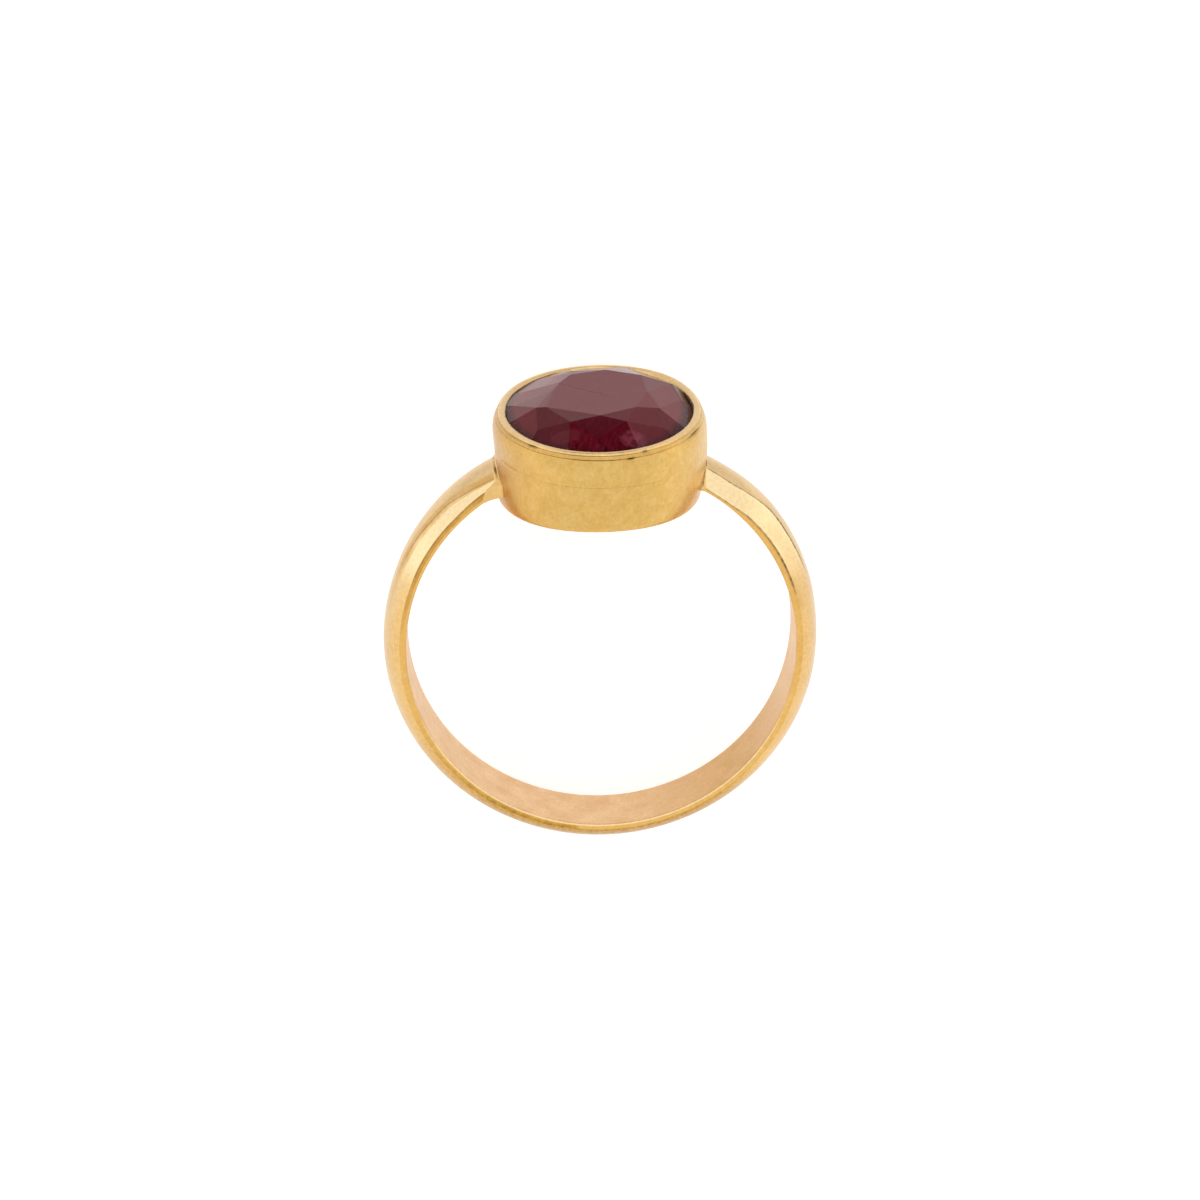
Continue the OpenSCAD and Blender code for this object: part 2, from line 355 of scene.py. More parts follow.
# %% [markdown]
# The band is made as by hand: a circle of points is shaped into the cross-section, and
# the spin tool turns it about the finger. Then each copy of the section is moved to
# the form that the tables give for its angle. The open ends are closed, and the
# normals are recalculated, because a spin can turn a shape inside out.

# %% The band
TURN_STEPS = 220


def on_ring(radius, y, turn):
    """A point of the band, from its radius, its place along the finger and its turn."""
    a = math.radians(turn)
    return Vector((radius * math.cos(a), y, radius * math.sin(a)))


def spun_band():
    """Spins the first cross-section about the finger, and gives it back as an object."""
    first = section(cut_at(BAND_FROM))
    bpy.ops.mesh.primitive_circle_add(vertices=len(first), radius=1)
    piece = bpy.context.object
    piece.name = "band"
    for vertex, point in zip(piece.data.vertices, first):
        vertex.co = on_ring(point[0], point[1], BAND_FROM)
    bpy.ops.object.mode_set(mode="EDIT")
    bpy.ops.mesh.select_all(action="SELECT")
    bpy.ops.mesh.spin(
        steps=TURN_STEPS, angle=math.radians(BAND_TO - BAND_FROM),
        center=(0, 0, 0), axis=(0, 1, 0))
    bpy.ops.object.mode_set(mode="OBJECT")
    return piece


def turn_of(co):
    """How far round the band a point is, between 90 and 450 degrees."""
    return math.degrees(math.atan2(co[2], co[0])) % 360 + (
        360 if math.atan2(co[2], co[0]) % (2 * math.pi) < math.radians(90) else 0)


def place_in_section(co, first):
    """Which point of the first cross-section a spun point comes from."""
    radius = math.hypot(co[0], co[2])
    return min(
        range(len(first)),
        key=lambda k: (first[k][0] - radius) ** 2 + (first[k][1] - co[1]) ** 2)


def shape_band(piece):
    """Moves every spun cross-section to its own form, and notes where each point is."""
    first = section(cut_at(BAND_FROM))
    step = (BAND_TO - BAND_FROM) / TURN_STEPS
    forms = [section(cut_at(BAND_FROM + step * j)) for j in range(TURN_STEPS + 1)]
    places = []
    for vertex in piece.data.vertices:
        j = round((turn_of(vertex.co) - BAND_FROM) / step)
        k = place_in_section(vertex.co, first)
        radius, y = forms[j][k]
        vertex.co = on_ring(radius, y, BAND_FROM + step * j)
        places.append((BAND_FROM + step * j, k))
    return places


band = spun_band()
band_places = shape_band(band)
print("band:", len(band.data.vertices), "points, turned from",
      min(p[0] for p in band_places), "to", max(p[0] for p in band_places))

# %% [markdown]
# Painted light and shade follow the form of a piece: the creases are painted darker
# as shade, and the filed bevels paler as highlights. A material can't know where a
# crease is, so the mesh carries it as an attribute, one number for each point. A map of
# the surface in millimetres, round the band and across it, carries the fine scratches.

# %% What the band's surface knows about itself
EDGE_AT = STEPS["inside"] + STEPS["eased"] + STEPS["side"]
CREASE_AT = EDGE_AT + STEPS["edge"] + STEPS["bevel"]


def folded(k):
    """The same place in the front half of the cross-section."""
    return k if k < HALF else SECTION - k


def shoulder_at(turn):
    """Whether a place is on the right shoulder, and how far above the widest line."""
    right = turn > LOWEST
    return right, turn - 360 if right else 180 - turn


def ramp(value, start, end):
    """Nothing at the start, one at the end, and even in between."""
    return min(1.0, max(0.0, (value - start) / (end - start)))


def hump(value, middle, width):
    """A soft hump that is one in its middle."""
    return math.exp(-((value - middle) / width) ** 2)


def crease_shade(turn, k):
    """How much the two creases beside the bevel are darkened, a painted shade."""
    right, above = shoulder_at(turn)
    if above < 16:
        return 0.0
    f = folded(k)
    beside_dome = f - (CREASE_AT + STEPS["crease"] // 2)
    beside_face = f - (EDGE_AT + 1)
    heavy = ramp(above, 18, 26) * ramp(above, 44, 36)
    if right and beside_dome in (-1, 0, 1, 2):
        return 0.75 * ramp(above, 18, 28) + 0.25 * heavy
    if right and beside_dome in (-2, 3):
        return 0.8 * heavy
    if right and beside_face in (-1, 0, 1, 2):
        return (0.55 + 0.3 * ramp(above, 36, 26)) * ramp(above, 12, 20)
    if not right and beside_face in (-1, 0, 1):
        return 0.45 * ramp(above, 20, 28)
    if not right and beside_dome in (0, 1):
        return 0.35 * ramp(above, 22, 30)
    return 0.0


def brown_film_and_shade(turn, k):
    """A golden brown tint: on the left shoulder it is painted shade, and it lies fainter on the
    right and low inside.
    """
    right, above = shoulder_at(turn)
    f = folded(k)
    on_face = EDGE_AT - 1 <= f <= EDGE_AT + 1 if right else EDGE_AT - 2 <= f <= EDGE_AT + 2
    on_bevel = EDGE_AT + 2 <= f <= CREASE_AT - 1
    by_crease = CREASE_AT <= f <= CREASE_AT + STEPS["crease"] + 1
    if f <= STEPS["inside"] + 2:
        return 0.75 * hump(turn, 315, 26)
    if right and on_bevel:
        return 0.3 * hump(above, 30, 14)
    if right:
        return 0.25 * ramp(above, 10, 24) if on_face else 0.0
    if on_face:
        return ramp(above, 4, 18)
    return 0.7 * ramp(above, 12, 26) if by_crease else 0.0


def bevel_highlight_share(turn, k):
    """A painted highlight: one on a filed bevel, and nearly one on the inner edge under the
    finger.
    """
    f = folded(k)
    if STEPS["inside"] < f < STEPS["inside"] + STEPS["eased"]:
        return 0.9 * ramp(math.sin(math.radians(turn)), -0.3, -0.6)
    return cut_at(turn).filed if EDGE_AT + 2 <= f <= CREASE_AT + 2 else 0.0


def inside_share(k):
    """One on the face that touches the finger."""
    return 1.0 if folded(k) <= STEPS["inside"] + 2 else 0.0


def dome_reflection_share(turn, k):
    """A painted reflection of the floor: one on the tan top of the dome, less towards its edges
    and under the finger.
    """
    height = math.sin(math.radians(turn))
    up_the_dome = ramp(folded(k), EDGE_AT, CREASE_AT)
    return up_the_dome * (0.15 + 0.85 * ramp(height, -0.9, -0.35))


def low_shade_share(turn, k):
    """Painted shade: one on the outside low on the band, where the gold is made deeper, more on
    the left.
    """
    height = math.sin(math.radians(turn))
    on_left = turn < 262
    from_height, from_place = (-0.35, EDGE_AT - 4) if on_left else (-0.6, EDGE_AT - 1)
    return ramp(folded(k), from_place, from_place + 3) * ramp(height, from_height, -0.9)


def give(piece, name, values):
    """Stores one number for each point of a mesh."""
    layer = piece.data.attributes.new(name, "FLOAT", "POINT")
    layer.data.foreach_set("value", values)


BAND_SHARES = {
    "dirt": crease_shade, "bevel": bevel_highlight_share, "film_and_shade": brown_film_and_shade, "dome": dome_reflection_share,
    "deep": low_shade_share,
}
for layer_name, share in BAND_SHARES.items():
    give(band, layer_name, [share(turn, k) for turn, k in band_places])
give(band, "inner", [inside_share(k) for turn, k in band_places])


MIDDLE_R = 9


def map_in_mm(piece, places):
    """A map of the band: millimetres round it at its middle radius, and across it."""
    across = [0.0]
    points = section(cut_at(LOWEST))
    for a, b in zip(points, points[1:] + points[:1]):
        across.append(across[-1] + (b - a).length)
    layer = piece.data.uv_layers.new(name="round_band")
    for face in piece.data.polygons:
        ks = [places[piece.data.loops[i].vertex_index][1] for i in face.loop_indices]
        wraps = max(ks) - min(ks) > SECTION / 2
        for i, k in zip(face.loop_indices, ks):
            turn = places[piece.data.loops[i].vertex_index][0]
            k = k + SECTION if wraps and k < SECTION / 2 else k
            layer.data[i].uv = (math.radians(turn) * MIDDLE_R, across[min(k, SECTION)])


map_in_mm(band, band_places)


def close_and_turn_out(piece):
    """Closes open ends, merges doubles and points every face outwards."""
    only(piece)
    bpy.ops.object.mode_set(mode="EDIT")
    bpy.ops.mesh.select_all(action="SELECT")
    bpy.ops.mesh.remove_doubles(threshold=0.0005)
    bpy.ops.mesh.fill_holes(sides=0)
    bpy.ops.mesh.normals_make_consistent(inside=False)
    bpy.ops.object.mode_set(mode="OBJECT")


close_and_turn_out(band)
bpy.ops.object.shade_smooth_by_angle(angle=math.radians(50))
print("band faces:", len(band.data.polygons))

# %% [markdown]
# ## The bezel
# The bezel is an oval cup that widens upwards. Its foot is a flat plate with a worn
# edge, and the rim is rubbed over the stone with a steel burnisher. That leaves a soft
# roll of gold between two fine grooves, and a bright lip along the stone. The cup is
# raised as a potter would: an oval, then ring after ring extruded and sized.

# %% The bezel
HEIGHT, WIDE, LONG = range(3)
BEZEL_OUTSIDE = [
    # HEIGHT WIDE  LONG
    (6.80, 8.50, 9.80),
    (6.82, 8.60, 9.90),
    (6.87, 8.68, 9.98),
    (6.95, 8.715, 10.06),
    (7.20, 8.755, 10.26),
    (7.40, 8.787, 10.39),
    (7.70, 8.83, 10.58),
    (8.00, 8.874, 10.77),
    (8.30, 8.917, 10.96),
    (8.60, 8.961, 11.16),
    (8.90, 9.005, 11.36),
    (9.02, 9.024, 11.44),
    (9.05, 9.010, 11.44),
    (9.08, 9.032, 11.47),
    (9.20, 9.05, 11.55),
    (9.40, 9.078, 11.68),
    (9.60, 9.106, 11.81),
    (9.75, 9.13, 11.91),
    (9.90, 9.15, 12.00),
    (10.05, 9.14, 11.99),
    (10.20, 9.10, 11.92),
    (10.28, 9.05, 11.88),
    (10.315, 9.02, 11.86),
    (10.335, 8.95, 11.79),
    (10.355, 8.985, 11.83),
    (10.40, 8.98, 11.82),
    (10.45, 8.93, 11.77),
    (10.475, 8.885, 11.72),
    (10.49, 8.81, 11.65),
    (10.505, 8.83, 11.66),
    (10.54, 8.77, 11.61),
    (10.575, 8.66, 11.50),
    (10.595, 8.53, 11.38),
    (10.60, 8.42, 11.27),
    (10.59, 8.30, 11.15),
    (10.57, 8.19, 11.04),
    (10.545, 8.12, 10.97),
    (10.52, 8.09, 10.94),
]
BEZEL_HOLLOW = [
    # HEIGHT WIDE  LONG
    (10.44, 8.35, 11.20),
    (9.47, 8.35, 11.20),
    (9.47, 7.45, 10.30),
    (7.30, 7.15, 8.30),
]
ROUND = 288


def raise_cup(name, rows):
    """Extrudes and sizes an oval through the rows, and closes the last one."""
    start = rows[0]
    bpy.ops.mesh.primitive_circle_add(
        vertices=ROUND, radius=0.5, fill_type="NGON", location=(0, 0, start[HEIGHT]))
    piece = bpy.context.object
    piece.name = name
    piece.scale = (start[WIDE], start[LONG], 1)
    bpy.ops.object.transform_apply(location=True, rotation=True, scale=True)
    bpy.ops.object.mode_set(mode="EDIT")
    bpy.ops.mesh.select_all(action="SELECT")
    bpy.ops.mesh.extrude_region_move(
        TRANSFORM_OT_translate={"value": (0, 0, rows[1][HEIGHT] - start[HEIGHT])})
    for before, now, after in zip(rows, rows[1:], rows[2:] + [None]):
        bpy.ops.transform.resize(
            value=(now[WIDE] / before[WIDE], now[LONG] / before[LONG], 1),
            center_override=(0, 0, now[HEIGHT]))
        if after:
            bpy.ops.mesh.extrude_region_move(
                TRANSFORM_OT_translate={"value": (0, 0, after[HEIGHT] - now[HEIGHT])})
    bpy.ops.object.mode_set(mode="OBJECT")
    return piece


bezel = raise_cup("bezel", BEZEL_OUTSIDE + BEZEL_HOLLOW)
close_and_turn_out(bezel)
print("bezel:", len(bezel.data.polygons), "faces, size",
      [round(d, 3) for d in bezel.dimensions])

# %% [markdown]
# Nothing about a cup raised and rubbed by hand is even. It stands a little to the right
# of the band's middle, its two sides lean unequally, and its foot is a fuller oval than
# its rim. The rim's edge wanders by a few hundredths of a millimetre, the burnisher
# slipped twice and left small nicks, whose dark insides are painted shade, and on the
# right the lip is pulled back a little from the stone. Every point of the cup is moved a
# little to match, with a short table for the two sides, sums of slow waves and a list of
# dents.

# %% The handwork on the bezel
AT, DENT_Z, DEEP, ACROSS, TALL = range(5)
DENTS = [
    # AT     DENT_Z DEEP  ACROSS TALL   degrees from the front, then mm
    (15.2, 10.325, 0.060, 2.6, 0.030),
    (23.5, 10.500, 0.050, 1.6, 0.040),
    (-40.5, 10.480, 0.060, 3.0, 0.035),
    (-52.0, 10.250, 0.020, 5.0, 0.060),
    (62.0, 10.330, 0.050, 7.0, 0.040),
    (-19.0, 9.300, 0.012, 6.0, 0.250),
    (34.0, 8.500, 0.012, 5.0, 0.350),
    (-47.0, 7.900, 0.014, 6.0, 0.400),
]
PULLED_AT = 92.0
OUTWARD_Y = 0.56
HALF_W, HALF_L = 4.5, 5.9
LIP_HALF_W, LIP_HALF_L = 4.22, 5.64
LEVEL, ON_LEFT, ON_RIGHT = range(3)
SIDEWAYS = [
    # LEVEL ON_LEFT ON_RIGHT   how far to the right each side stands at a height, in mm
    (6.8, 0.00, 0.06),
    (7.6, 0.02, 0.14),
    (8.7, 0.07, 0.21),
    (9.8, 0.08, 0.11),
    (10.6, 0.15, 0.02),
]


def round_from_front(co):
    """Degrees round the oval from its front end, positive to the right."""
    return math.degrees(math.atan2(co[0] / HALF_W, -co[1] / HALF_L))


def waver(angle, z):
    """How far the rim wanders outwards, in mm."""
    a = math.radians(angle)
    waves = math.sin(3 * a + 0.6) + 0.7 * math.sin(5 * a + 2.1) + 0.5 * math.sin(11 * a + 4.0)
    return -0.007 * ramp(z, 10.2, 10.4) * (1.6 + waves)


def sideways(co):
    """How far to the right the cup stands at a point."""
    left, right = (read(SIDEWAYS, co[2], side) for side in (ON_LEFT, ON_RIGHT))
    return left + (right - left) * ramp(co[0], -HALF_W, HALF_W)


def fuller(angle, z):
    """How far the corners of the oval stand out, at the foot and behind the rim."""
    at_corner = math.sin(math.radians(2 * angle)) ** 2
    foot = 0.12 * ramp(z, 8.8, 7.2)
    behind = (0.13 if angle > 0 else 0.06) * ramp(z, 9.9, 10.4) * ramp(abs(angle), 90, 110)
    return at_corner * (foot + behind)


def lift(angle, z):
    """The rim is a little higher at the back, most on the right."""
    return 0.05 * hump((angle + 30) % 360 - 180, 0, 45) * ramp(z, 10.2, 10.5)


def handwork(co):
    """The same point after the goldsmith's hand."""
    angle, z = round_from_front(co), co[2]
    inwards = sum(
        dent[DEEP] * hump(angle, dent[AT], dent[ACROSS]) * hump(z, dent[DENT_Z], dent[TALL])
        for dent in DENTS)
    inwards -= waver(angle, z) + fuller(angle, z)
    outward = Vector((co[0], co[1] * OUTWARD_Y, 0)).normalized()
    on_lip = z > 10.5 and math.hypot(co[0] / LIP_HALF_W, co[1] / LIP_HALF_L) < 0.985
    if on_lip:
        inwards = -0.02 * hump(angle, PULLED_AT, 3.0)
    return co - outward * inwards + Vector((sideways(co), 0, lift(angle, z)))


def row_of(vertex):
    """Which row of the tables a point of the cup was raised from."""
    return vertex.index // ROUND


for vertex in bezel.data.vertices:
    if row_of(vertex) < len(BEZEL_OUTSIDE):
        vertex.co = handwork(vertex.co)
bpy.ops.object.shade_smooth_by_angle(angle=math.radians(38))
print("bezel after handwork:", [round(d, 3) for d in bezel.dimensions])

# %% [markdown]
# The grooves round the rim still hold brown polish, and so does a line that was once
# scribed round the wall to mark the height of the seat. The deeper dents, the narrow gap
# beside the stone and the roll below the lip are painted darker as shade. The cup carries
# this in the same way as the band. Three more numbers at each point tell where the wall
# is warmer orange low down, where the rim is painted paler as a reflection of the floor,
# and where the left side is painted darker as shade.

# %% What the bezel's surface knows about itself
RIM_FROM_ROW, RIM_TO_ROW = 28, 30
LINE_Z, FIRST, LAST, STRONG = range(4)
LINES = [
    # LINE_Z FIRST  LAST  STRONG   height in mm, from and to in degrees, and how dark
    (10.490, -30.0, 22.0, 0.50),
    (10.490, -64.0, -32.0, 0.80),
    (10.335, -20.0, 13.0, 0.70),
    (10.335, 50.0, 74.0, 0.60),
    (9.050, -38.0, 38.0, 0.26),
]


def line_dirt(angle, z):
    """How much polish the grooves hold at a place on the wall."""
    return sum(
        row[STRONG] * hump(z, row[LINE_Z], 0.008)
        * ramp(angle, row[FIRST], row[FIRST] + 8) * ramp(angle, row[LAST], row[LAST] - 8)
        for row in LINES)


def dent_shade(angle, z):
    """Painted shade: the deeper dents in the rim are darkened inside."""
    return sum(
        20 * dent[DEEP] * hump(angle, dent[AT], dent[ACROSS] * 0.8)
        * hump(z, dent[DENT_Z], dent[TALL])
        for dent in DENTS if dent[DEEP] > 0.04)


def gap_shadow(vertex):
    """Painted shadow in the narrow gap beside the stone, less at the back."""
    angle = abs(round_from_front(vertex.co))
    past_lip = row_of(vertex) - len(BEZEL_OUTSIDE)
    if past_lip == -2:
        return 0.8 * ramp(angle, 30, 50) * ramp(angle, 135, 115)
    return 1.0 - 0.6 * ramp(angle, 120, 150) if past_lip in (-1, 0) else 0.0


def roll_shade(angle, z):
    """Painted shade: a thin brown tone on the roll below the bright lip."""
    return 0.14 * hump(z, 10.42, 0.05) * ramp(abs(angle), 110, 80)


def bezel_dirt_and_shade(vertex):
    """The groove polish and painted shade at a point, read at the height it had before the
    handwork.
    """
    angle = round_from_front(vertex.co)
    z = (BEZEL_OUTSIDE + BEZEL_HOLLOW)[row_of(vertex)][HEIGHT]
    marks = line_dirt(angle, z) + dent_shade(angle, z) + roll_shade(angle, z)
    return min(1.0, marks + gap_shadow(vertex))


def warm_low_tint(vertex):
    """Orange low on the left, and faintly along the foot."""
    angle, z = round_from_front(vertex.co), vertex.co[2]
    left = 0.8 * hump(angle, -62, 10) * ramp(z, 7.1, 6.85)
    return min(1.0, left + 0.15 * ramp(z, 7.0, 6.85))


def left_side_shade(vertex):
    """Painted shade: the left side of the wall is a little darker than the front."""
    angle = round_from_front(vertex.co)
    return 0.6 * ramp(-angle, 25, 75) if row_of(vertex) < RIM_FROM_ROW else 0.0


def rim_reflection_share(vertex):
    """Painted reflection: one on the lip of the rim, nothing on the roll, the wall and the
    hollow.
    """
    is_outside = row_of(vertex) < len(BEZEL_OUTSIDE)
    return ramp(row_of(vertex), RIM_FROM_ROW, RIM_TO_ROW) if is_outside else 0.0


give(bezel, "dirt", [bezel_dirt_and_shade(v) for v in bezel.data.vertices])
give(bezel, "warm", [warm_low_tint(v) for v in bezel.data.vertices])
give(bezel, "rim", [rim_reflection_share(v) for v in bezel.data.vertices])
give(bezel, "deep", [left_side_shade(v) for v in bezel.data.vertices])
print("places on the bezel with dirt:",
      sum(bezel_dirt_and_shade(v) > 0.3 for v in bezel.data.vertices))

# %% [markdown]
# ## The ruby
# The stone is an old cut: an oval with a flat table, eight long facets that reach from
# the girdle to the corners of the table, eight small star facets between them, and
# pairs of short facets along the girdle. The cutter holds the stone against a flat
# wheel, one facet after the other. The bisect tool does the same here: each cut
# removes everything beyond a plane and closes the wound with a flat face. The girdle
# follows the picture, so along the back and on the right the crown here stands up to
# about 0.2 mm higher than the solid's: there the stone is almost level with the rim.

# %% The planes of the ruby
STONE_W, STONE_L = 8.25, 11.1
TABLE_Z, GIRDLE_TOP, GIRDLE_BOTTOM, CULET_Z = 11.25, 10.42, 9.87, 7.67
TABLE_X, TABLE_Y, FACING, UNDER, END_ANGLE, END, STAR_SLOPE = range(7)
CROWN = [
    # TABLE_X TABLE_Y FACING UNDER END_ANGLE END STAR_SLOPE   for each table corner
    (0.05, -2.85, -87, 0.22, -92, 0.76, 11),
    (1.60, -1.90, -44, 0.17, -38, 0.83, 16),
    (2.15, 0.10, -6, 0.02, 8, 0.90, 18),
    (2.00, 2.30, 47, -0.10, 46, 0.97, 14),
    (0.50, 3.15, 94, -0.12, 94, 0.93, 10),
    (-1.05, 2.60, 139, -0.10, 137, 0.93, 19),
    (-1.60, 1.45, 161, -0.06, 180, 0.84, 12),
    (-2.22, -1.62, 227, 0.17, 220, 0.82, 7),
]
Plane = namedtuple("Plane", "normal point")


def on_girdle(angle, z):
    """A point of the girdle's outline, at an angle and a height."""
    a = math.radians(angle)
    return Vector((STONE_W / 2 * math.cos(a), STONE_L / 2 * math.sin(a), z))


def along_girdle(angle):
    """The direction of the outline at an angle."""
    a = math.radians(angle)
    return Vector((-STONE_W * math.sin(a), STONE_L * math.cos(a), 0))


def through(a, b, c):
    """The plane through three points, its normal pointing up."""
    normal = (b - a).cross(c - a).normalized()
    return Plane(normal if normal[2] > 0 else -normal, a)


def table_corner(i):
    """One of the eight corners of the table."""
    return Vector((CROWN[i % 8][TABLE_X], CROWN[i % 8][TABLE_Y], TABLE_Z))


def facing(i):
    """Which way a long facet faces, growing past a full turn."""
    return CROWN[i % 8][FACING] + 360 * (i // 8)


def meets_at(i):
    """How high a long facet starts at the girdle."""
    return GIRDLE_TOP - CROWN[i % 8][UNDER]


def long_facet(i):
    """Its plane touches the girdle and runs up to a corner of the table."""
    at = on_girdle(facing(i), meets_at(i))
    return through(at, at + along_girdle(facing(i)), table_corner(i))


def star_facet(i):
    """Falls gently from the table's edge between one corner and the next."""
    edge = (table_corner(i + 1) - table_corner(i)).normalized()
    slope = math.radians(CROWN[i % 8][STAR_SLOPE])
    normal = Vector((edge[1] * math.sin(slope), -edge[0] * math.sin(slope), math.cos(slope)))
    return Plane(normal, table_corner(i))


def meet(p, q, r):
    """The point where three planes meet."""
    rows = Matrix((p.normal, q.normal, r.normal))
    return rows.inverted() @ Vector((p.normal @ p.point, q.normal @ q.point, r.normal @ r.point))


def star_tip(i):
    """Where a star facet ends, between two long ones."""
    return meet(long_facet(i), long_facet(i + 1), star_facet(i))


def end_of(i):
    """Where a long facet ends, short of the girdle."""
    at = on_girdle(CROWN[i % 8][END_ANGLE], 0) * CROWN[i % 8][END]
    n, p = long_facet(i)
    return Vector((at[0], at[1], p[2] + (n[0] * (p[0] - at[0]) + n[1] * (p[1] - at[1])) / n[2]))


def half_way(i):
    """Where the two short facets of a pair meet on the girdle."""
    return on_girdle((facing(i) + facing(i + 1)) / 2, (meets_at(i) + meets_at(i + 1)) / 2 - 0.03)


def girdle_facet(i, end):
    """One of the two short facets between a star's tip and the girdle."""
    return through(star_tip(i), end_of(end), half_way(i))


def under_facet(turn):
    """A flat underneath, from the girdle down to the lowest point."""
    at = on_girdle(turn, GIRDLE_BOTTOM)
    up = through(at, at + along_girdle(turn), Vector((0, 0, CULET_Z)))
    return Plane(-up.normal, at)


RUBY_PLANES = [Plane(Vector((0, 0, 1)), Vector((0, 0, TABLE_Z)))]
RUBY_PLANES += [long_facet(i) for i in range(8)]
RUBY_PLANES += [star_facet(i) for i in range(8)]
RUBY_PLANES += [girdle_facet(i, i) for i in range(8)]
RUBY_PLANES += [girdle_facet(i, i + 1) for i in range(8)]
CROWN_PLANES = list(RUBY_PLANES)
UNDER_COUNT = 16
RUBY_PLANES += [under_facet(360 / UNDER_COUNT * k) for k in range(UNDER_COUNT)]
print("facets to grind:", len(RUBY_PLANES))

# %% [markdown]
# The oval blank is ground facet by facet. A narrow bevel then eases every edge, a
# fiftieth of a millimetre wide, which is about what hand polishing leaves. Without
# it the facet edges of a rendered stone never glint.


# %% Grind the ruby
def ground_stone():
    """Cuts an oval blank with every plane in turn."""
    bpy.ops.mesh.primitive_cylinder_add(
        vertices=96, radius=0.5, depth=TABLE_Z - CULET_Z + 2,
        location=(0, 0, (TABLE_Z + CULET_Z) / 2))
    piece = bpy.context.object
    piece.name = "ruby_stone"
    piece.scale = (STONE_W, STONE_L, 1)
    bpy.ops.object.transform_apply(location=True, rotation=True, scale=True)
    bpy.ops.object.mode_set(mode="EDIT")
    for plane in RUBY_PLANES:
        bpy.ops.mesh.select_all(action="SELECT")
        bpy.ops.mesh.bisect(
            plane_co=plane.point, plane_no=plane.normal, threshold=0.0002,
            use_fill=True, clear_outer=True)
    bpy.ops.mesh.select_all(action="SELECT")
    bpy.ops.mesh.remove_doubles(threshold=0.002)
    bpy.ops.mesh.normals_make_consistent(inside=False)
    bpy.ops.object.mode_set(mode="OBJECT")
    return piece


def apply_bevel(piece, width, steps, angle):
    """Eases the edges of a piece with an applied bevel."""
    only(piece)
    eased = piece.modifiers.new("eased_edges", "BEVEL")
    eased.width = width
    eased.segments = steps
    eased.limit_method = "ANGLE"
    eased.angle_limit = math.radians(angle)
    eased.harden_normals = False
    bpy.ops.object.modifier_apply(modifier=eased.name)


ruby = ground_stone()
apply_bevel(ruby, width=0.02, steps=2, angle=4)
bpy.ops.object.shade_flat()
print("ruby:", len(ruby.data.polygons), "faces, size",
      [round(d, 3) for d in ruby.dimensions])

# %% [markdown]
# Each facet gets a painted shade of its own, lighter or darker, for the light that it
# mirrors and sends back from the stone's inside. It is kept on the faces of the mesh,
# because a value on a corner would run from one facet into the next. A face belongs to
# the facet whose plane it is most nearly parallel to.

# %% A shade for each facet
# SHADES has the order of RUBY_PLANES: the table, the long facets, the stars, the two
# short facets of each pair, and the flats underneath.
LONG_SHADE = (0.86, 0.95, 1.12, 0.90, 1.20, 0.85, 0.92, 0.84)
STAR_SHADE = (0.85, 1.10, 0.90, 1.20, 0.86, 1.12, 0.92, 0.72)
SHADES = [1.0, *LONG_SHADE, *STAR_SHADE] + [0.92] * 8 + [1.05] * 8 + [1.0] * UNDER_COUNT


def shade_of(face):
    """The shade of the facet that a face belongs to."""
    facet = max(
        range(len(RUBY_PLANES)), key=lambda i: RUBY_PLANES[i].normal.dot(face.normal))
    return SHADES[facet]


shade = ruby.data.attributes.new("shade", "FLOAT", "FACE")
shade.data.foreach_set("value", [shade_of(face) for face in ruby.data.polygons])
print("shades:", len(set(SHADES)), "for", len(RUBY_PLANES), "facets")

# %% [markdown]
# The last stroke of a setter presses the thin lip down until it lies on the facets. The
# last row of the lip is moved to a hundredth of a millimetre above the stone, and the
# row before it is lowered where it would stand up like a burr.


# %% Rub the lip down
def stone_height(co):
    """How high the crown of the stone is at a place."""
    return min(
        p[2] + (n[0] * (p[0] - co[0]) + n[1] * (p[1] - co[1])) / n[2] for n, p in CROWN_PLANES)


LIP_ROW = len(BEZEL_OUTSIDE) - 1
LIP_GAP = 0.012
BURR_GAP = 0.05
lip_gaps = []
for vertex in bezel.data.vertices:
    height = stone_height(vertex.co)
    if row_of(vertex) == LIP_ROW:
        lip_gaps.append(vertex.co[2] - height)
        vertex.co[2] = height + LIP_GAP
    elif row_of(vertex) == LIP_ROW - 1:
        vertex.co[2] = min(vertex.co[2], height + BURR_GAP)
print("the lip stood between", round(min(lip_gaps), 3), "and", round(max(lip_gaps), 3),
      "mm above the stone before this")

# %% [markdown]
# ## The solder seams
# Where the band meets the bezel, solder has flowed into the corner and set in a small
# hollow curve. The right seam is tight, and the left one is full: under the left
# shoulder the solder reaches down almost to the foot of the bezel. Polish and dirt have
# turned its edge brown. The seam follows the line where the two shapes cross, which
# is found by walking each point of the cross-section along the band until it goes
# through the wall.

# %% Where the band goes through the wall
SEAM_FOOT_Z = 6.84
BEFORE_WALL = 24
HALVINGS = 24


def wall_at(z, column):
    """Width or length of the bezel at a height."""
    for low, high in zip(BEZEL_OUTSIDE, BEZEL_OUTSIDE[1:]):
        if low[HEIGHT] <= z <= high[HEIGHT]:
            t = (z - low[HEIGHT]) / (high[HEIGHT] - low[HEIGHT])
            return low[column] + (high[column] - low[column]) * t
    return BEZEL_OUTSIDE[0][column]


def is_in_bezel(co):
    """True where a point is inside the outer wall of the bezel."""
    wide, long = wall_at(co[2], WIDE) / 2, wall_at(co[2], LONG) / 2
    x = co[0] - sideways(co)
    return co[2] > BEZEL_OUTSIDE[0][HEIGHT] and (x / wide) ** 2 + (co[1] / long) ** 2 < 1


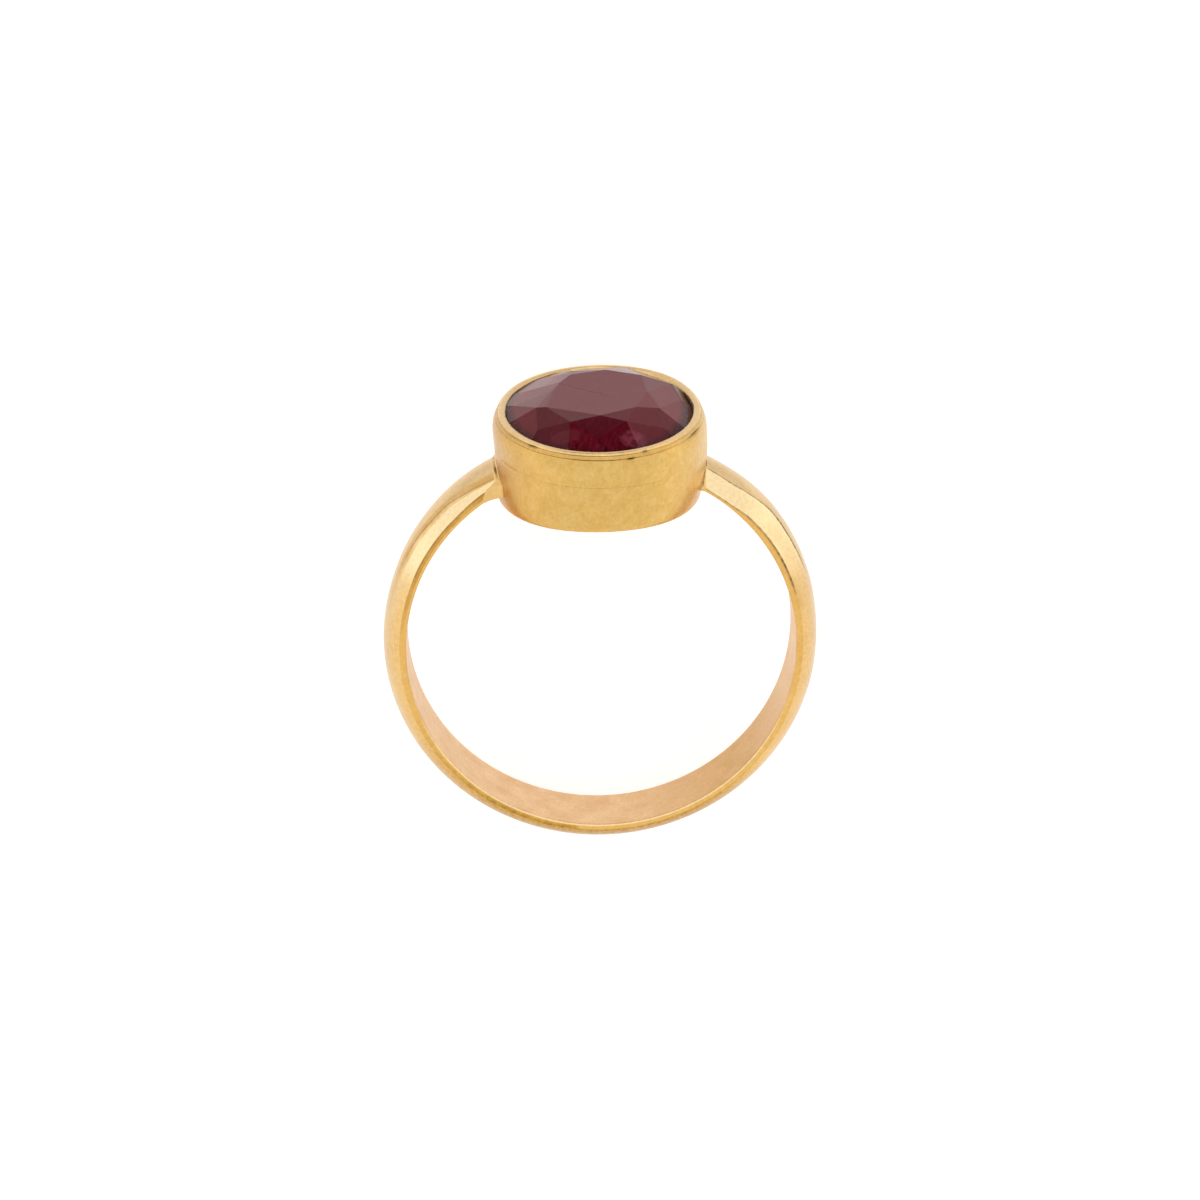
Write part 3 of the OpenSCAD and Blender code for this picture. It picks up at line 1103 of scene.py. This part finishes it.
def where_it_enters(k, far_turn, near_turn):
    """Where one point of the cross-section goes through the wall, by halving."""
    for _ in range(HALVINGS):
        middle = (far_turn + near_turn) / 2
        radius, y = section(cut_at(middle))[k]
        if is_in_bezel(on_ring(radius, y, middle)):
            near_turn = middle
        else:
            far_turn = middle
    radius, y = section(cut_at(far_turn))[k]
    return on_ring(radius, y, far_turn)


def on_wall(co):
    """The nearest place on the outside of the wall, at the same height."""
    x, z = co[0] - sideways(co), max(co[2], SEAM_FOOT_Z)
    size = math.hypot(x / wall_at(z, WIDE) * 2, co[1] / wall_at(z, LONG) * 2)
    return handwork(Vector((x / size, co[1] / size, z)))


joint_right = [where_it_enters(k, BAND_TO - BEFORE_WALL, BAND_TO) for k in range(SECTION)]
joint_left = [where_it_enters(k, BAND_FROM + BEFORE_WALL, BAND_FROM) for k in range(SECTION)]
print("the right joint runs from z", round(min(p[2] for p in joint_right), 2),
      "to", round(max(p[2] for p in joint_right), 2))

# %% [markdown]
# Each seam is a ring-shaped tube whose cross-section has one hollow side. A torus has
# the same order of points, so it is added first, and its points are then moved: the
# hollow side runs from a place back along the band, past the joint, to a place down
# the wall, and the other side is sunk into both.

# %% The solder seams
HOLLOW_STEPS = 7
SUNK = 0.05
SUNK_IN_WALL = 0.06
JOINT_HALF_W, JOINT_HALF_L = 4.5, 5.8
Seam = namedtuple("Seam", "joint backwards small along down full dirty_above")


def reach_of(k, small, large):
    """How far the solder spreads at a point of the cross-section, in mm."""
    radius, y = section(cut_at(LOWEST))[k]
    under = ramp(radius, 9.3, 8.6)
    front = ramp(-y, -0.6, 1.2)
    return small + (large - small) * under * (0.35 + 0.65 * front)


def solder_section(k, plan):
    """The cross-section of the solder at one point of the joint."""
    at = plan.joint[k]
    along, down = (reach_of(k, plan.small, large) for large in (plan.along, plan.down))
    turn = turn_of(at) + plan.backwards * math.degrees(along / MIDDLE_R)
    radius, y = section(cut_at(turn))[k]
    on_band = on_ring(radius, y, turn)
    core = on_ring(MIDDLE_R, 0, turn_of(at))
    away = at - core
    outward = Vector((at[0] / JOINT_HALF_W ** 2, at[1] / JOINT_HALF_L ** 2, 0)).normalized()
    away = (away - outward * away.dot(outward)).normalized()
    on_cup = on_wall(at + away * down)
    steps = [j / (HOLLOW_STEPS - 1) for j in range(HOLLOW_STEPS)]
    corner_at = at.lerp((on_band + on_cup) / 2, plan.full)
    hollow = [
        on_band * (1 - t) ** 2 + corner_at * 2 * t * (1 - t) + on_cup * t * t for t in steps]
    sunk = (core - on_band).normalized() * SUNK
    into_wall = outward * SUNK_IN_WALL
    back_in = [on_cup - into_wall, at - into_wall + sunk, on_band + sunk]
    return hollow + back_in


def seam_dirt(co, plan):
    """Dirt is left in the upper part of a seam, where fingers don't reach."""
    return ramp(co[2], plan.dirty_above, plan.dirty_above + 0.25)


def seam(name, plan):
    """A ring of solder in the corner between the band and the bezel."""
    around = HOLLOW_STEPS + 3
    bpy.ops.mesh.primitive_torus_add(major_segments=SECTION, minor_segments=around)
    piece = bpy.context.object
    piece.name = name
    for k in range(SECTION):
        for j, co in enumerate(solder_section(k, plan)):
            piece.data.vertices[k * around + j].co = co
    give(piece, "dirt", [
        seam_dirt(v.co, plan) if v.index % around in (2, 3, 4) else 0.0
        for v in piece.data.vertices])
    return piece


solder_right = seam("solder_right", Seam(
    joint=joint_right, backwards=-1, small=0.09, along=0.35, down=0.2, full=0.25,
    dirty_above=7.3))
solder_left = seam("solder_left", Seam(
    joint=joint_left, backwards=1, small=0.2, along=1.0, down=0.45, full=0.5,
    dirty_above=7.9))
for bead in (solder_right, solder_left):
    only(bead)
    bpy.ops.object.mode_set(mode="EDIT")
    bpy.ops.mesh.select_all(action="SELECT")
    bpy.ops.mesh.normals_make_consistent(inside=False)
    bpy.ops.object.mode_set(mode="OBJECT")
    bpy.ops.object.shade_smooth_by_angle(angle=math.radians(60))
print("seams:", [len(b.data.polygons) for b in (solder_right, solder_left)])

# %% [markdown]
# ## Finishes
# A finish is a recipe: a few noises, what the mesh knows about itself, and colours that
# are mixed by both. A few more helpers keep the recipes short. Patterns that don't
# follow the band are placed in the upright ring's own directions, in millimetres, so a
# noise can be asked for by the size of its blotches.

# %% Helpers for finishes
UPRIGHT = {
    "Location": (0, -MIDDLE_Y * MM, REST_H * MM),
    "Rotation": (LEAN - math.radians(90), 0, 0),
}


def in_ring_mm(tree, place, size=(1, 1, 1)):
    """Places in the upright ring, counted in steps of the given size in mm."""
    return add(tree, "ShaderNodeMapping", {
        "Vector": place.outputs["Object"], **UPRIGHT, "Scale": tuple(s * MM for s in size)},
        vector_type="TEXTURE").outputs["Vector"]


def noise(tree, vector, detail, roughness, output="Fac"):
    """A noise over places that are already scaled to the size of its blotches."""
    return add(tree, "ShaderNodeTexNoise", {
        "Vector": vector, "Scale": 1.0, "Detail": detail, "Roughness": roughness,
    }).outputs[output]


def noise_in_mm(tree, place, size, detail, roughness, output="Fac"):
    """A noise whose blotches have the given size in mm, in the upright ring."""
    return noise(tree, in_ring_mm(tree, place, size), detail, roughness, output)


def carried(tree, name):
    """A number that the mesh carries at each of its points or faces."""
    return add(tree, "ShaderNodeAttribute", attribute_name=name).outputs["Fac"]


def spread(tree, value, low, high, at_low=0.0, at_high=1.0):
    """Stretches the part of a value between two limits to a new range."""
    return add(tree, "ShaderNodeMapRange", {
        "Value": value, "From Min": low, "From Max": high, "To Min": at_low,
        "To Max": at_high}).outputs["Result"]


def times(tree, value, strength, plus=0.0):
    """A value times a strength, and more added to it where that is given."""
    return add(tree, "ShaderNodeMath", {0: value, 1: strength, 2: plus},
               operation="MULTIPLY_ADD").outputs["Value"]


def blend(tree, share, first, second):
    """Two values mixed, with the given share of the second."""
    return add(tree, "ShaderNodeMix", {"Factor": share, "A": first, "B": second},
               data_type="FLOAT").outputs["Result"]


def between(tree, factor, first, second):
    """Mixes two colours, given as codes or as outputs, by a factor."""
    a, b = (linear(c) if isinstance(c, str) else c for c in (first, second))
    return add(tree, "ShaderNodeMix", {"Factor": factor, "A": a, "B": b},
               data_type="RGBA").outputs["Result"]


def shaded(tree, colour, by):
    """A colour made darker or lighter by a factor."""
    return add(tree, "ShaderNodeMix", {"Factor": 1.0, "A": colour, "B": by},
               data_type="RGBA", blend_type="MULTIPLY").outputs["Result"]


def bump(tree, height, strength, distance):
    """Shallow relief from a pattern, its distance in metres."""
    return add(tree, "ShaderNodeBump", {
        "Height": height, "Strength": strength, "Distance": distance}).outputs["Normal"]


def finish(tree, out, look):
    """Ends a recipe with one shader that has the given look."""
    shader = add(tree, "ShaderNodeBsdfPrincipled", look)
    tree.links.new(shader.outputs["BSDF"], out.inputs["Surface"])


def dress(piece, material):
    """Gives a piece one finish and no other."""
    piece.data.materials.clear()
    piece.data.materials.append(material)


print("patterns are turned by", round(math.degrees(UPRIGHT["Rotation"][0]), 1), "degrees")

# %% [markdown]
# ## The gold
# Old 18 carat gold is a warm yellow. Years of wear leave a fine satin over the polish:
# hair-thin scratches that run round the band, and slightly cloudy patches. The top of the
# dome is painted tan, a reflection of the floor, and the filed bevels are painted pale as
# highlights. The inside is painted paler and rosier as a sheen, and the finger keeps it a
# little duller. Low on the outside the gold is painted deeper and grainy, as shade. The
# material mixes these golds by the attributes of the mesh, and takes its scratches from
# the map in millimetres.


# %% Worn polished gold, for the band
def streaks_on_map(tree, place, scale, detail, roughness):
    """A noise on the band's own map, drawn out along it or across it."""
    mapped = add(tree, "ShaderNodeMapping", {"Vector": place.outputs["UV"], "Scale": scale})
    return noise(tree, mapped.outputs["Vector"], detail, roughness)


def band_golds(tree, cloudy, grain, rubbed_sheen):
    """The golds of the band and their painted light, each where the mesh has noted it."""
    body = between(tree, cloudy, "D8A653", "E9BE74")
    # Painted reflection: the top of the dome is tan where it mirrors the floor.
    floor_reflection = between(tree, cloudy, "CFAC7A", "E0C290")
    # Painted shade: the gold low on the outside is deeper and grainy.
    low_shade = between(tree, spread(tree, grain, 0.35, 0.62), "A67A30", "C4933F")
    # Painted highlight: the filed bevels and the inner edge are pale.
    painted_highlight = between(tree, rubbed_sheen, "EECF98", "F9E3B6")
    streaky = blend(tree, 0.5, rubbed_sheen, cloudy)
    # Painted sheen: the inside is paler and rosier, as seen at a grazing angle.
    inner_sheen = between(tree, spread(tree, streaky, 0.36, 0.64), "D8AB78", "ECC99C")
    colour = between(tree, carried(tree, "dome"), body, floor_reflection)
    colour = between(tree, carried(tree, "deep"), colour, low_shade)
    colour = between(tree, carried(tree, "bevel"), colour, painted_highlight)
    return between(tree, carried(tree, "inner"), colour, inner_sheen)


def band_soil(tree, colour, cloudy, grain):
    """The brown tint, partly painted shade, small blotches, and the painted shade in the
    creases.
    """
    # The brown tint is painted shade on the left shoulder.
    film_and_shade = times(tree, carried(tree, "film_and_shade"), spread(tree, cloudy, 0.35, 0.6, 0.45, 1.0))
    colour = between(tree, film_and_shade, colour, "C39247")
    colour = shaded(tree, colour, spread(tree, grain, 0.3, 0.7, 0.92, 1.07))
    # The dark brown in the creases of the band is painted shade.
    dirt = times(tree, carried(tree, "dirt"), spread(tree, grain, 0.36, 0.56, 1.0, 0.6))
    return between(tree, dirt, colour, "4A2F18")


def worn_gold():
    """The band's finish: golds and painted light under soil and painted shade, with fine
    scratches in the polish.
    """
    material, tree, out = empty_material("worn_polished_18ct_gold")
    place = add(tree, "ShaderNodeTexCoord")
    cloudy = noise_in_mm(tree, place, (1.2, 1.2, 1.2), 4.0, 0.6)
    grain = noise_in_mm(tree, place, (0.16, 0.16, 0.16), 3.0, 0.65)
    scratches = streaks_on_map(tree, place, (0.35, 14.0, 1.0), 5.0, 0.7)
    rubbed_sheen = streaks_on_map(tree, place, (5.0, 0.25, 1.0), 4.0, 0.6)
    colour = band_soil(tree, band_golds(tree, cloudy, grain, rubbed_sheen), cloudy, grain)
    rough = spread(tree, scratches, 0.3, 0.7, 0.2, 0.34)
    relief = times(tree, grain, 0.6, plus=scratches)
    finish(tree, out, {
        "Base Color": colour, "Metallic": 1.0,
        "Roughness": times(tree, carried(tree, "inner"), 0.12, plus=rough),
        "Normal": bump(tree, relief, 0.3, 0.00001)})
    return material


dress(band, worn_gold())
print("band finish:", len(band.active_material.node_tree.nodes), "nodes")

# %% [markdown]
# The wall of the bezel was rubbed with a fine abrasive from foot to rim, so its
# streaks stand upright. They are drawn by squeezing a noise to a tenth of a
# millimetre across and stretching it to a few millimetres along. The rim is painted
# paler and a little rosier, a reflection of the floor that it mirrors.


# %% Brushed gold, for the bezel
def bezel_golds(tree, streaks, patches):
    """The golds of the wall with its painted shade on the left, the rim painted paler as a
    reflection, and the orange by the foot.
    """
    tone = spread(tree, blend(tree, 0.22, patches, streaks), 0.38, 0.62)
    wall = between(tree, tone, "D3A95C", "DBB56D")
    # Painted shade: the left side of the wall is darker.
    wall = between(tree, carried(tree, "deep"), wall, "BC8A42")
    # Painted reflection: the rim is paler and rosier where it mirrors the floor.
    rubbed_sheen = between(tree, patches, "DDB579", "EECC94")
    colour = between(tree, carried(tree, "rim"), wall, rubbed_sheen)
    return between(tree, carried(tree, "warm"), colour, "DC9438")


def brushed_gold():
    """The bezel's finish: golds under dirt and painted shade, with upright streaks in the
    polish.
    """
    material, tree, out = empty_material("brushed_18ct_gold")
    place = add(tree, "ShaderNodeTexCoord")
    streaks = noise_in_mm(tree, place, (0.12, 0.12, 3.0), 4.0, 0.65)
    patches = noise_in_mm(tree, place, (0.55, 0.55, 0.6), 5.0, 0.66)
    grain = noise_in_mm(tree, place, (0.17, 0.17, 0.2), 3.0, 0.7)
    colour = bezel_golds(tree, streaks, patches)
    colour = shaded(tree, colour, spread(tree, grain, 0.3, 0.7, 0.9, 1.08))
    # Dark brown from polish in the grooves, and painted shade in the dents, the gap and on the
    # roll.
    dirt = times(tree, carried(tree, "dirt"), spread(tree, grain, 0.35, 0.6, 1.0, 0.7))
    finish(tree, out, {
        "Base Color": between(tree, dirt, colour, "3E2614"), "Metallic": 1.0,
        "Roughness": spread(tree, streaks, 0.3, 0.7, 0.22, 0.38),
        "Normal": bump(tree, streaks, 0.25, 0.00001)})
    return material


dress(bezel, brushed_gold())
print("bezel finish:", len(bezel.active_material.node_tree.nodes), "nodes")

# %% [markdown]
# The solder is nearly the same gold, a little paler. A brown film has grown in the
# middle of the seam and is worn away where fingers reach it, which a noise decides. A
# film is so thin that the metal still shines through, so it only darkens the gold.


# %% Soiled solder
def soiled_solder():
    """The finish of both seams."""
    material, tree, out = empty_material("soiled_gold_solder")
    place = add(tree, "ShaderNodeTexCoord")
    crumbs = noise_in_mm(tree, place, (0.45, 0.45, 0.45), 4.0, 0.6)
    tint = noise_in_mm(tree, place, (0.2, 0.2, 0.2), 3.0, 0.6)
    metal = between(tree, tint, "D6A860", "EAC685")
    film_and_shade = times(tree, carried(tree, "dirt"), spread(tree, crumbs, 0.42, 0.6))
    finish(tree, out, {
        "Base Color": between(tree, film_and_shade, metal, "6B4A2B"), "Roughness": 0.34,
        "Metallic": 1.0})
    return material


solder = soiled_solder()
for bead in (solder_right, solder_left):
    dress(bead, solder)
print("solder finish:", len(solder.node_tree.nodes), "nodes")

# %% [markdown]
# ## The ruby's finish
# The stone is not a clear one: fine needles and healed cracks make it cloudy, so
# light hardly passes, and what the eye sees is a deep red body under a polished
# skin. Marks with a place of their own come first: a pink spot, a light one, the part
# behind the front facets with painted flashes of light and the rim's painted shadow,
# and two cracks that have healed.

# %% Where the marks in the stone are
# A spot is given by its middle and its half sizes in mm, in the upright ring. A crack is
# a line on the table: its middle, its direction, its length, how thick it looks and how
# much of its colour it shows.
PINK_SPOT = ((1.42, -4.25, 10.65), (0.62, 0.62, 0.5))
LIGHT_SPOT = ((-1.45, -3.95, 10.7), (0.80, 0.50, 0.5))
FRONT_FACETS = ((-0.3, -4.9, 10.5), (3.0, 1.1, 1.2))
CRACKS = (
    {"at": (-0.50, 0.52, 11.25), "turn": -42.5, "long": 3.4, "wide": 0.036, "share": 0.55},
    {"at": (2.55, -1.30, 11.0), "turn": -72.0, "long": 3.0, "wide": 0.030, "share": 0.45},
)


def ball(tree, vector, middle, size):
    """One in the middle of an oval ball, nothing at its surface and outside it."""
    inside = add(tree, "ShaderNodeMapping", {
        "Vector": vector, "Location": middle, "Scale": size}, vector_type="TEXTURE")
    return add(tree, "ShaderNodeTexGradient", {"Vector": inside.outputs["Vector"]},
               gradient_type="SPHERICAL").outputs["Fac"]


def spot(tree, vector, mark):
    """One inside a soft oval spot, nothing outside it."""
    return spread(tree, ball(tree, vector, *mark), 0.0, 0.35)


def along_rim(tree, in_mm):
    """One in a narrow zone along the girdle, nothing further in."""
    inwards = ball(tree, in_mm, (0, 0, 0), (STONE_W / 2, STONE_L / 2, 100))
    return spread(tree, inwards, 0.07, 0.14, 1.0, 0.0)


def size_of(tree, value):
    """A value without its sign."""
    return add(tree, "ShaderNodeMath", {0: value}, operation="ABSOLUTE").outputs["Value"]


def healed_crack(tree, in_mm, crack, wander):
    """A thin crooked line across the stone, one on the line."""
    along = add(tree, "ShaderNodeMapping", {
        "Vector": in_mm, "Location": crack["at"],
        "Rotation": (0, 0, math.radians(crack["turn"]))}, vector_type="TEXTURE")
    parts = add(tree, "ShaderNodeSeparateXYZ", {"Vector": along.outputs["Vector"]})
    crooked = times(tree, wander, 0.9, plus=parts.outputs["Y"])
    off = size_of(tree, times(tree, crooked, 1.0, plus=-0.45))
    on_line = spread(tree, off, crack["wide"] * 0.4, crack["wide"] * 1.6, 1.0, 0.0)
    far = size_of(tree, parts.outputs["X"])
    short_of_end = spread(tree, far, crack["long"] * 0.35, crack["long"] * 0.5, 1.0, 0.0)
    return times(tree, on_line, short_of_end)


print("marks in the stone: 3 spots and", len(CRACKS), "cracks")

# %% [markdown]
# Looked at steeply the body is a dark wine red. Looked at slantwise, as on the table,
# the stone is painted greyer and paler, a painted sheen of the light that its skin
# mirrors. The needles lie side by side, and a jeweller calls their sheen silk. A slow
# noise pushes the marks and the silk about, because nothing that grew in a stone has a
# ruled outline. Each facet's own painted shade is laid over the body before the painted
# shadow beside the lip and the cracks, which look the same through every facet; the
# cracks lie in the skin.

# %% Cloudy ruby
CLOUDS = {"size": (1.0, 1.0, 1.0), "detail": 5.0, "roughness": 0.65}
PUSH = 0.9


def pushed_about(tree, place, in_mm):
    """The same places, pushed sideways by a cloud."""
    cloud = noise_in_mm(tree, place, **CLOUDS, output="Color")
    pushed = add(tree, "ShaderNodeVectorMath", {
        0: cloud, 1: (PUSH, PUSH, 0.0), 2: in_mm}, operation="MULTIPLY_ADD")
    return add(tree, "ShaderNodeVectorMath", {
        0: pushed.outputs["Vector"], 1: (PUSH / 2, PUSH / 2, 0.0)},
        operation="SUBTRACT").outputs["Vector"]


def silk_of(tree, pushed):
    """Fine threads side by side, about a millimetre long."""
    turned = add(tree, "ShaderNodeMapping", {
        "Vector": pushed, "Rotation": (0, 0, math.radians(-24)), "Scale": (0.09, 0.9, 1.0)},
        vector_type="TEXTURE")
    return noise(tree, turned.outputs["Vector"], 3.0, 0.6)


def red_body(tree, clouds, silk):
    """Wine red seen steeply, a painted grey sheen seen slantwise, with paler threads."""
    slant = add(tree, "ShaderNodeLayerWeight", {"Blend": 0.5}).outputs["Facing"]
    deep = between(tree, clouds, "42040F", "5A0A1C")
    slant_sheen = between(tree, clouds, "66262A", "723235")
    # Painted sheen: faces seen slantwise are greyer and paler.
    colour = between(tree, spread(tree, slant, 0.36, 0.62), deep, slant_sheen)
    return between(tree, spread(tree, silk, 0.5, 0.75, 0.0, 0.16), colour, "8A3A42")


def marks_flashes_and_shadow(tree, colour, in_mm, pushed, flakes):
    """Painted flashes of light and the rim's painted shadow behind the front facets, a light
    spot and a pink one.
    """
    front = spot(tree, in_mm, FRONT_FACETS)
    # Painted light: bright red flashes behind the front facets.
    flash = times(tree, spread(tree, flakes, 0.56, 0.74, 0.0, 0.45), front)
    colour = between(tree, flash, colour, "7C1B29")
    # Painted shadow of the rim on the front facets.
    rim_shadow = times(tree, spread(tree, flakes, 0.34, 0.46, 0.75, 0.0), front)
    colour = between(tree, rim_shadow, colour, "1E0307")
    light = times(tree, spot(tree, pushed, LIGHT_SPOT), 0.3)
    colour = between(tree, light, colour, "6A2C30")
    broken = spread(tree, flakes, 0.38, 0.58, 0.2, 0.85)
    pink = times(tree, spot(tree, pushed, PINK_SPOT), broken)
    return between(tree, pink, colour, "74303E")


def shadow_by_rim(tree, colour, place, in_mm):
    """The rim's painted shadow in a broken zone beside the lip, with a few painted glints in it.
    """
    crumbs = noise_in_mm(tree, place, (0.13, 0.13, 0.13), 3.0, 0.7)
    by_rim = along_rim(tree, in_mm)
    # Painted shadow of the rim beside the lip.
    rim_shadow = times(tree, by_rim, spread(tree, crumbs, 0.42, 0.58, 1.0, 0.45))
    colour = between(tree, rim_shadow, colour, "210A08")
    # Painted glints in that shadow.
    glints = times(tree, by_rim, spread(tree, crumbs, 0.60, 0.70, 0.0, 0.5))
    return between(tree, glints, colour, "8E5C5C")


def cracked(tree, colour, in_mm, wander):
    """The two healed cracks, as thin brown lines."""
    for crack in CRACKS:
        line_of_it = healed_crack(tree, in_mm, crack, wander)
        colour = between(tree, times(tree, line_of_it, crack["share"]), colour, "3A100E")
    return colour


def cloudy_ruby():
    """The stone's finish: the body, what lies in it, painted light and shadow, and a polished
    skin.
    """
    material, tree, out = empty_material("cloudy_natural_ruby")
    place = add(tree, "ShaderNodeTexCoord")
    in_mm = in_ring_mm(tree, place)
    pushed = pushed_about(tree, place, in_mm)
    clouds = noise_in_mm(tree, place, **CLOUDS)
    flakes = noise_in_mm(tree, place, (0.22, 0.35, 0.3), 4.0, 0.75)
    silk = silk_of(tree, pushed)
    colour = red_body(tree, clouds, silk)
    colour = marks_flashes_and_shadow(tree, colour, in_mm, pushed, flakes)
    # Painted light: each facet's own shade, lighter or darker.
    colour = shaded(tree, colour, carried(tree, "shade"))
    colour = shadow_by_rim(tree, colour, place, in_mm)
    finish(tree, out, {
        "Base Color": cracked(tree, colour, in_mm, clouds),
        "Roughness": spread(tree, flakes, 0.3, 0.7, 0.1, 0.2), "IOR": 1.77,
        "Specular IOR Level": 0.04, "Normal": bump(tree, silk, 0.15, 0.000004)})
    return material


dress(ruby, cloudy_ruby())
print("ruby finish:", len(ruby.active_material.node_tree.nodes), "nodes")

# %% [markdown]
# ## On the floor
# Each piece is laid down and rides on the frame's one body, and the solid that it stands
# for is hidden.

# %% Lay the ring down
GOLD_PIECES = (band, bezel, solder_right, solder_left)
for piece in GOLD_PIECES:
    lay_down(piece)
    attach(piece, "root")
    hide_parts("gold_setting")
lay_down(ruby)
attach(ruby, "root")
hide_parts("ruby")

# %% [markdown]
# ## Floor and light
# Jewellery is often photographed on a sheet of white opal acrylic inside a white
# tent: light comes evenly from everywhere, and little that is dark is mirrored. The
# sheet is lit from below too, which its emission stands for, so that it stays white
# right under the ring.


# %% The white floor
WHITE = (1.0, 1.0, 1.0, 1.0)


def even_sheet(name, grain_scale, darkest, lightest, look):
    """A plain matt finish with a fine grain in its tone."""
    material, tree, out = empty_material(name)
    place = add(tree, "ShaderNodeTexCoord")
    grain = add(tree, "ShaderNodeTexNoise", {
        "Vector": place.outputs["Object"], "Scale": grain_scale, "Detail": 2.0})
    tone = between(tree, grain.outputs["Fac"], darkest, lightest)
    finish(tree, out, {"Base Color": tone, "Emission Color": WHITE, **look})
    return material


bpy.ops.mesh.primitive_plane_add(size=3.0, location=(0, 0, 0))
floor = bpy.context.object
floor.name = "opal_floor"
dress(floor, even_sheet(
    "opal_acrylic", 900.0, "C2C2C0", "C8C8C7", {"Roughness": 0.6, "Emission Strength": 0.6}))
print("floor laid")

# %% [markdown]
# The tent is the world's own even white. Two long softboxes stand low on the left and
# on the right and draw the bright lines on the shoulders. A third, small one hangs
# above the stone's side and lights the lip of the rim and the thin inner edge of the
# band. A small black card, which photographers call a flag, stands just outside the
# picture behind the stone. The front facets mirror it, and so they show the red of the
# stone and not the white of the tent. A grey card in front of the stone, which glows a
# little like the floor below it, softens the mirror in the table in the same way: only
# mirrors see it, so that it throws no shadow on the floor. The camera sees neither the
# boxes nor the cards.


# %% The light
AIM = Vector((0, 0, 0.008))


def white_tent(strength):
    """The world's even white."""
    world = bpy.data.worlds.new("white_tent")
    bpy.context.scene.world = world
    world.use_nodes = True
    tree = world.node_tree
    tree.nodes.clear()
    glow = add(tree, "ShaderNodeBackground", {"Color": WHITE, "Strength": strength})
    out = tree.nodes.new("ShaderNodeOutputWorld")
    tree.links.new(glow.outputs["Background"], out.inputs["Surface"])


def softbox(name, azimuth, height, distance, size, radiance):
    """A long low box of light that faces the ring, its brightness given as radiance."""
    a = math.radians(azimuth)
    place = Vector((distance * math.sin(a), distance * math.cos(a), height))
    bpy.ops.object.light_add(type="AREA", location=place)
    box = bpy.context.object
    box.name = name
    box.data.shape = "RECTANGLE"
    box.data.size, box.data.size_y = size
    box.data.energy = radiance * math.pi * size[0] * size[1]
    box.rotation_euler = (AIM - place).to_track_quat("-Z", "Y").to_euler()
    box.visible_camera = False
    return box


def card(name, place, size, darkest, lightest, glow):
    """A card of the given size in metres that the camera doesn't see."""
    bpy.ops.mesh.primitive_cube_add(size=1, location=place)
    piece = bpy.context.object
    piece.name = name
    piece.scale = size
    bpy.ops.object.transform_apply(location=True, rotation=True, scale=True)
    dress(piece, even_sheet(
        name + "_flock", 4000.0, darkest, lightest,
        {"Roughness": 0.95, "Emission Strength": glow}))
    piece.visible_camera = False
    return piece


white_tent(strength=1.08)
softbox("softbox_right", azimuth=70, height=0.03, distance=0.4, size=(0.3, 0.1), radiance=0.32)
softbox("softbox_left", azimuth=-92, height=0.03, distance=0.4, size=(0.3, 0.1), radiance=0.15)
softbox("softbox_above", azimuth=0, height=0.25, distance=0.32, size=(0.14, 0.12), radiance=0.35)
card("black_flag", place=(0, 0.042, 0.0045), size=(0.026, 0.001, 0.009),
     darkest="0A0A0A", lightest="141414", glow=0.0)
grey_card = card("grey_card", place=(0, 0.0259, 0.0006), size=(0.060, 0.030, 0.0002),
                 darkest="D2D2D2", lightest="D8D8D8", glow=0.3)
grey_card.visible_shadow = False
grey_card.visible_diffuse = False
bpy.context.scene.view_settings.view_transform = "Standard"
bpy.context.scene.view_settings.look = "None"
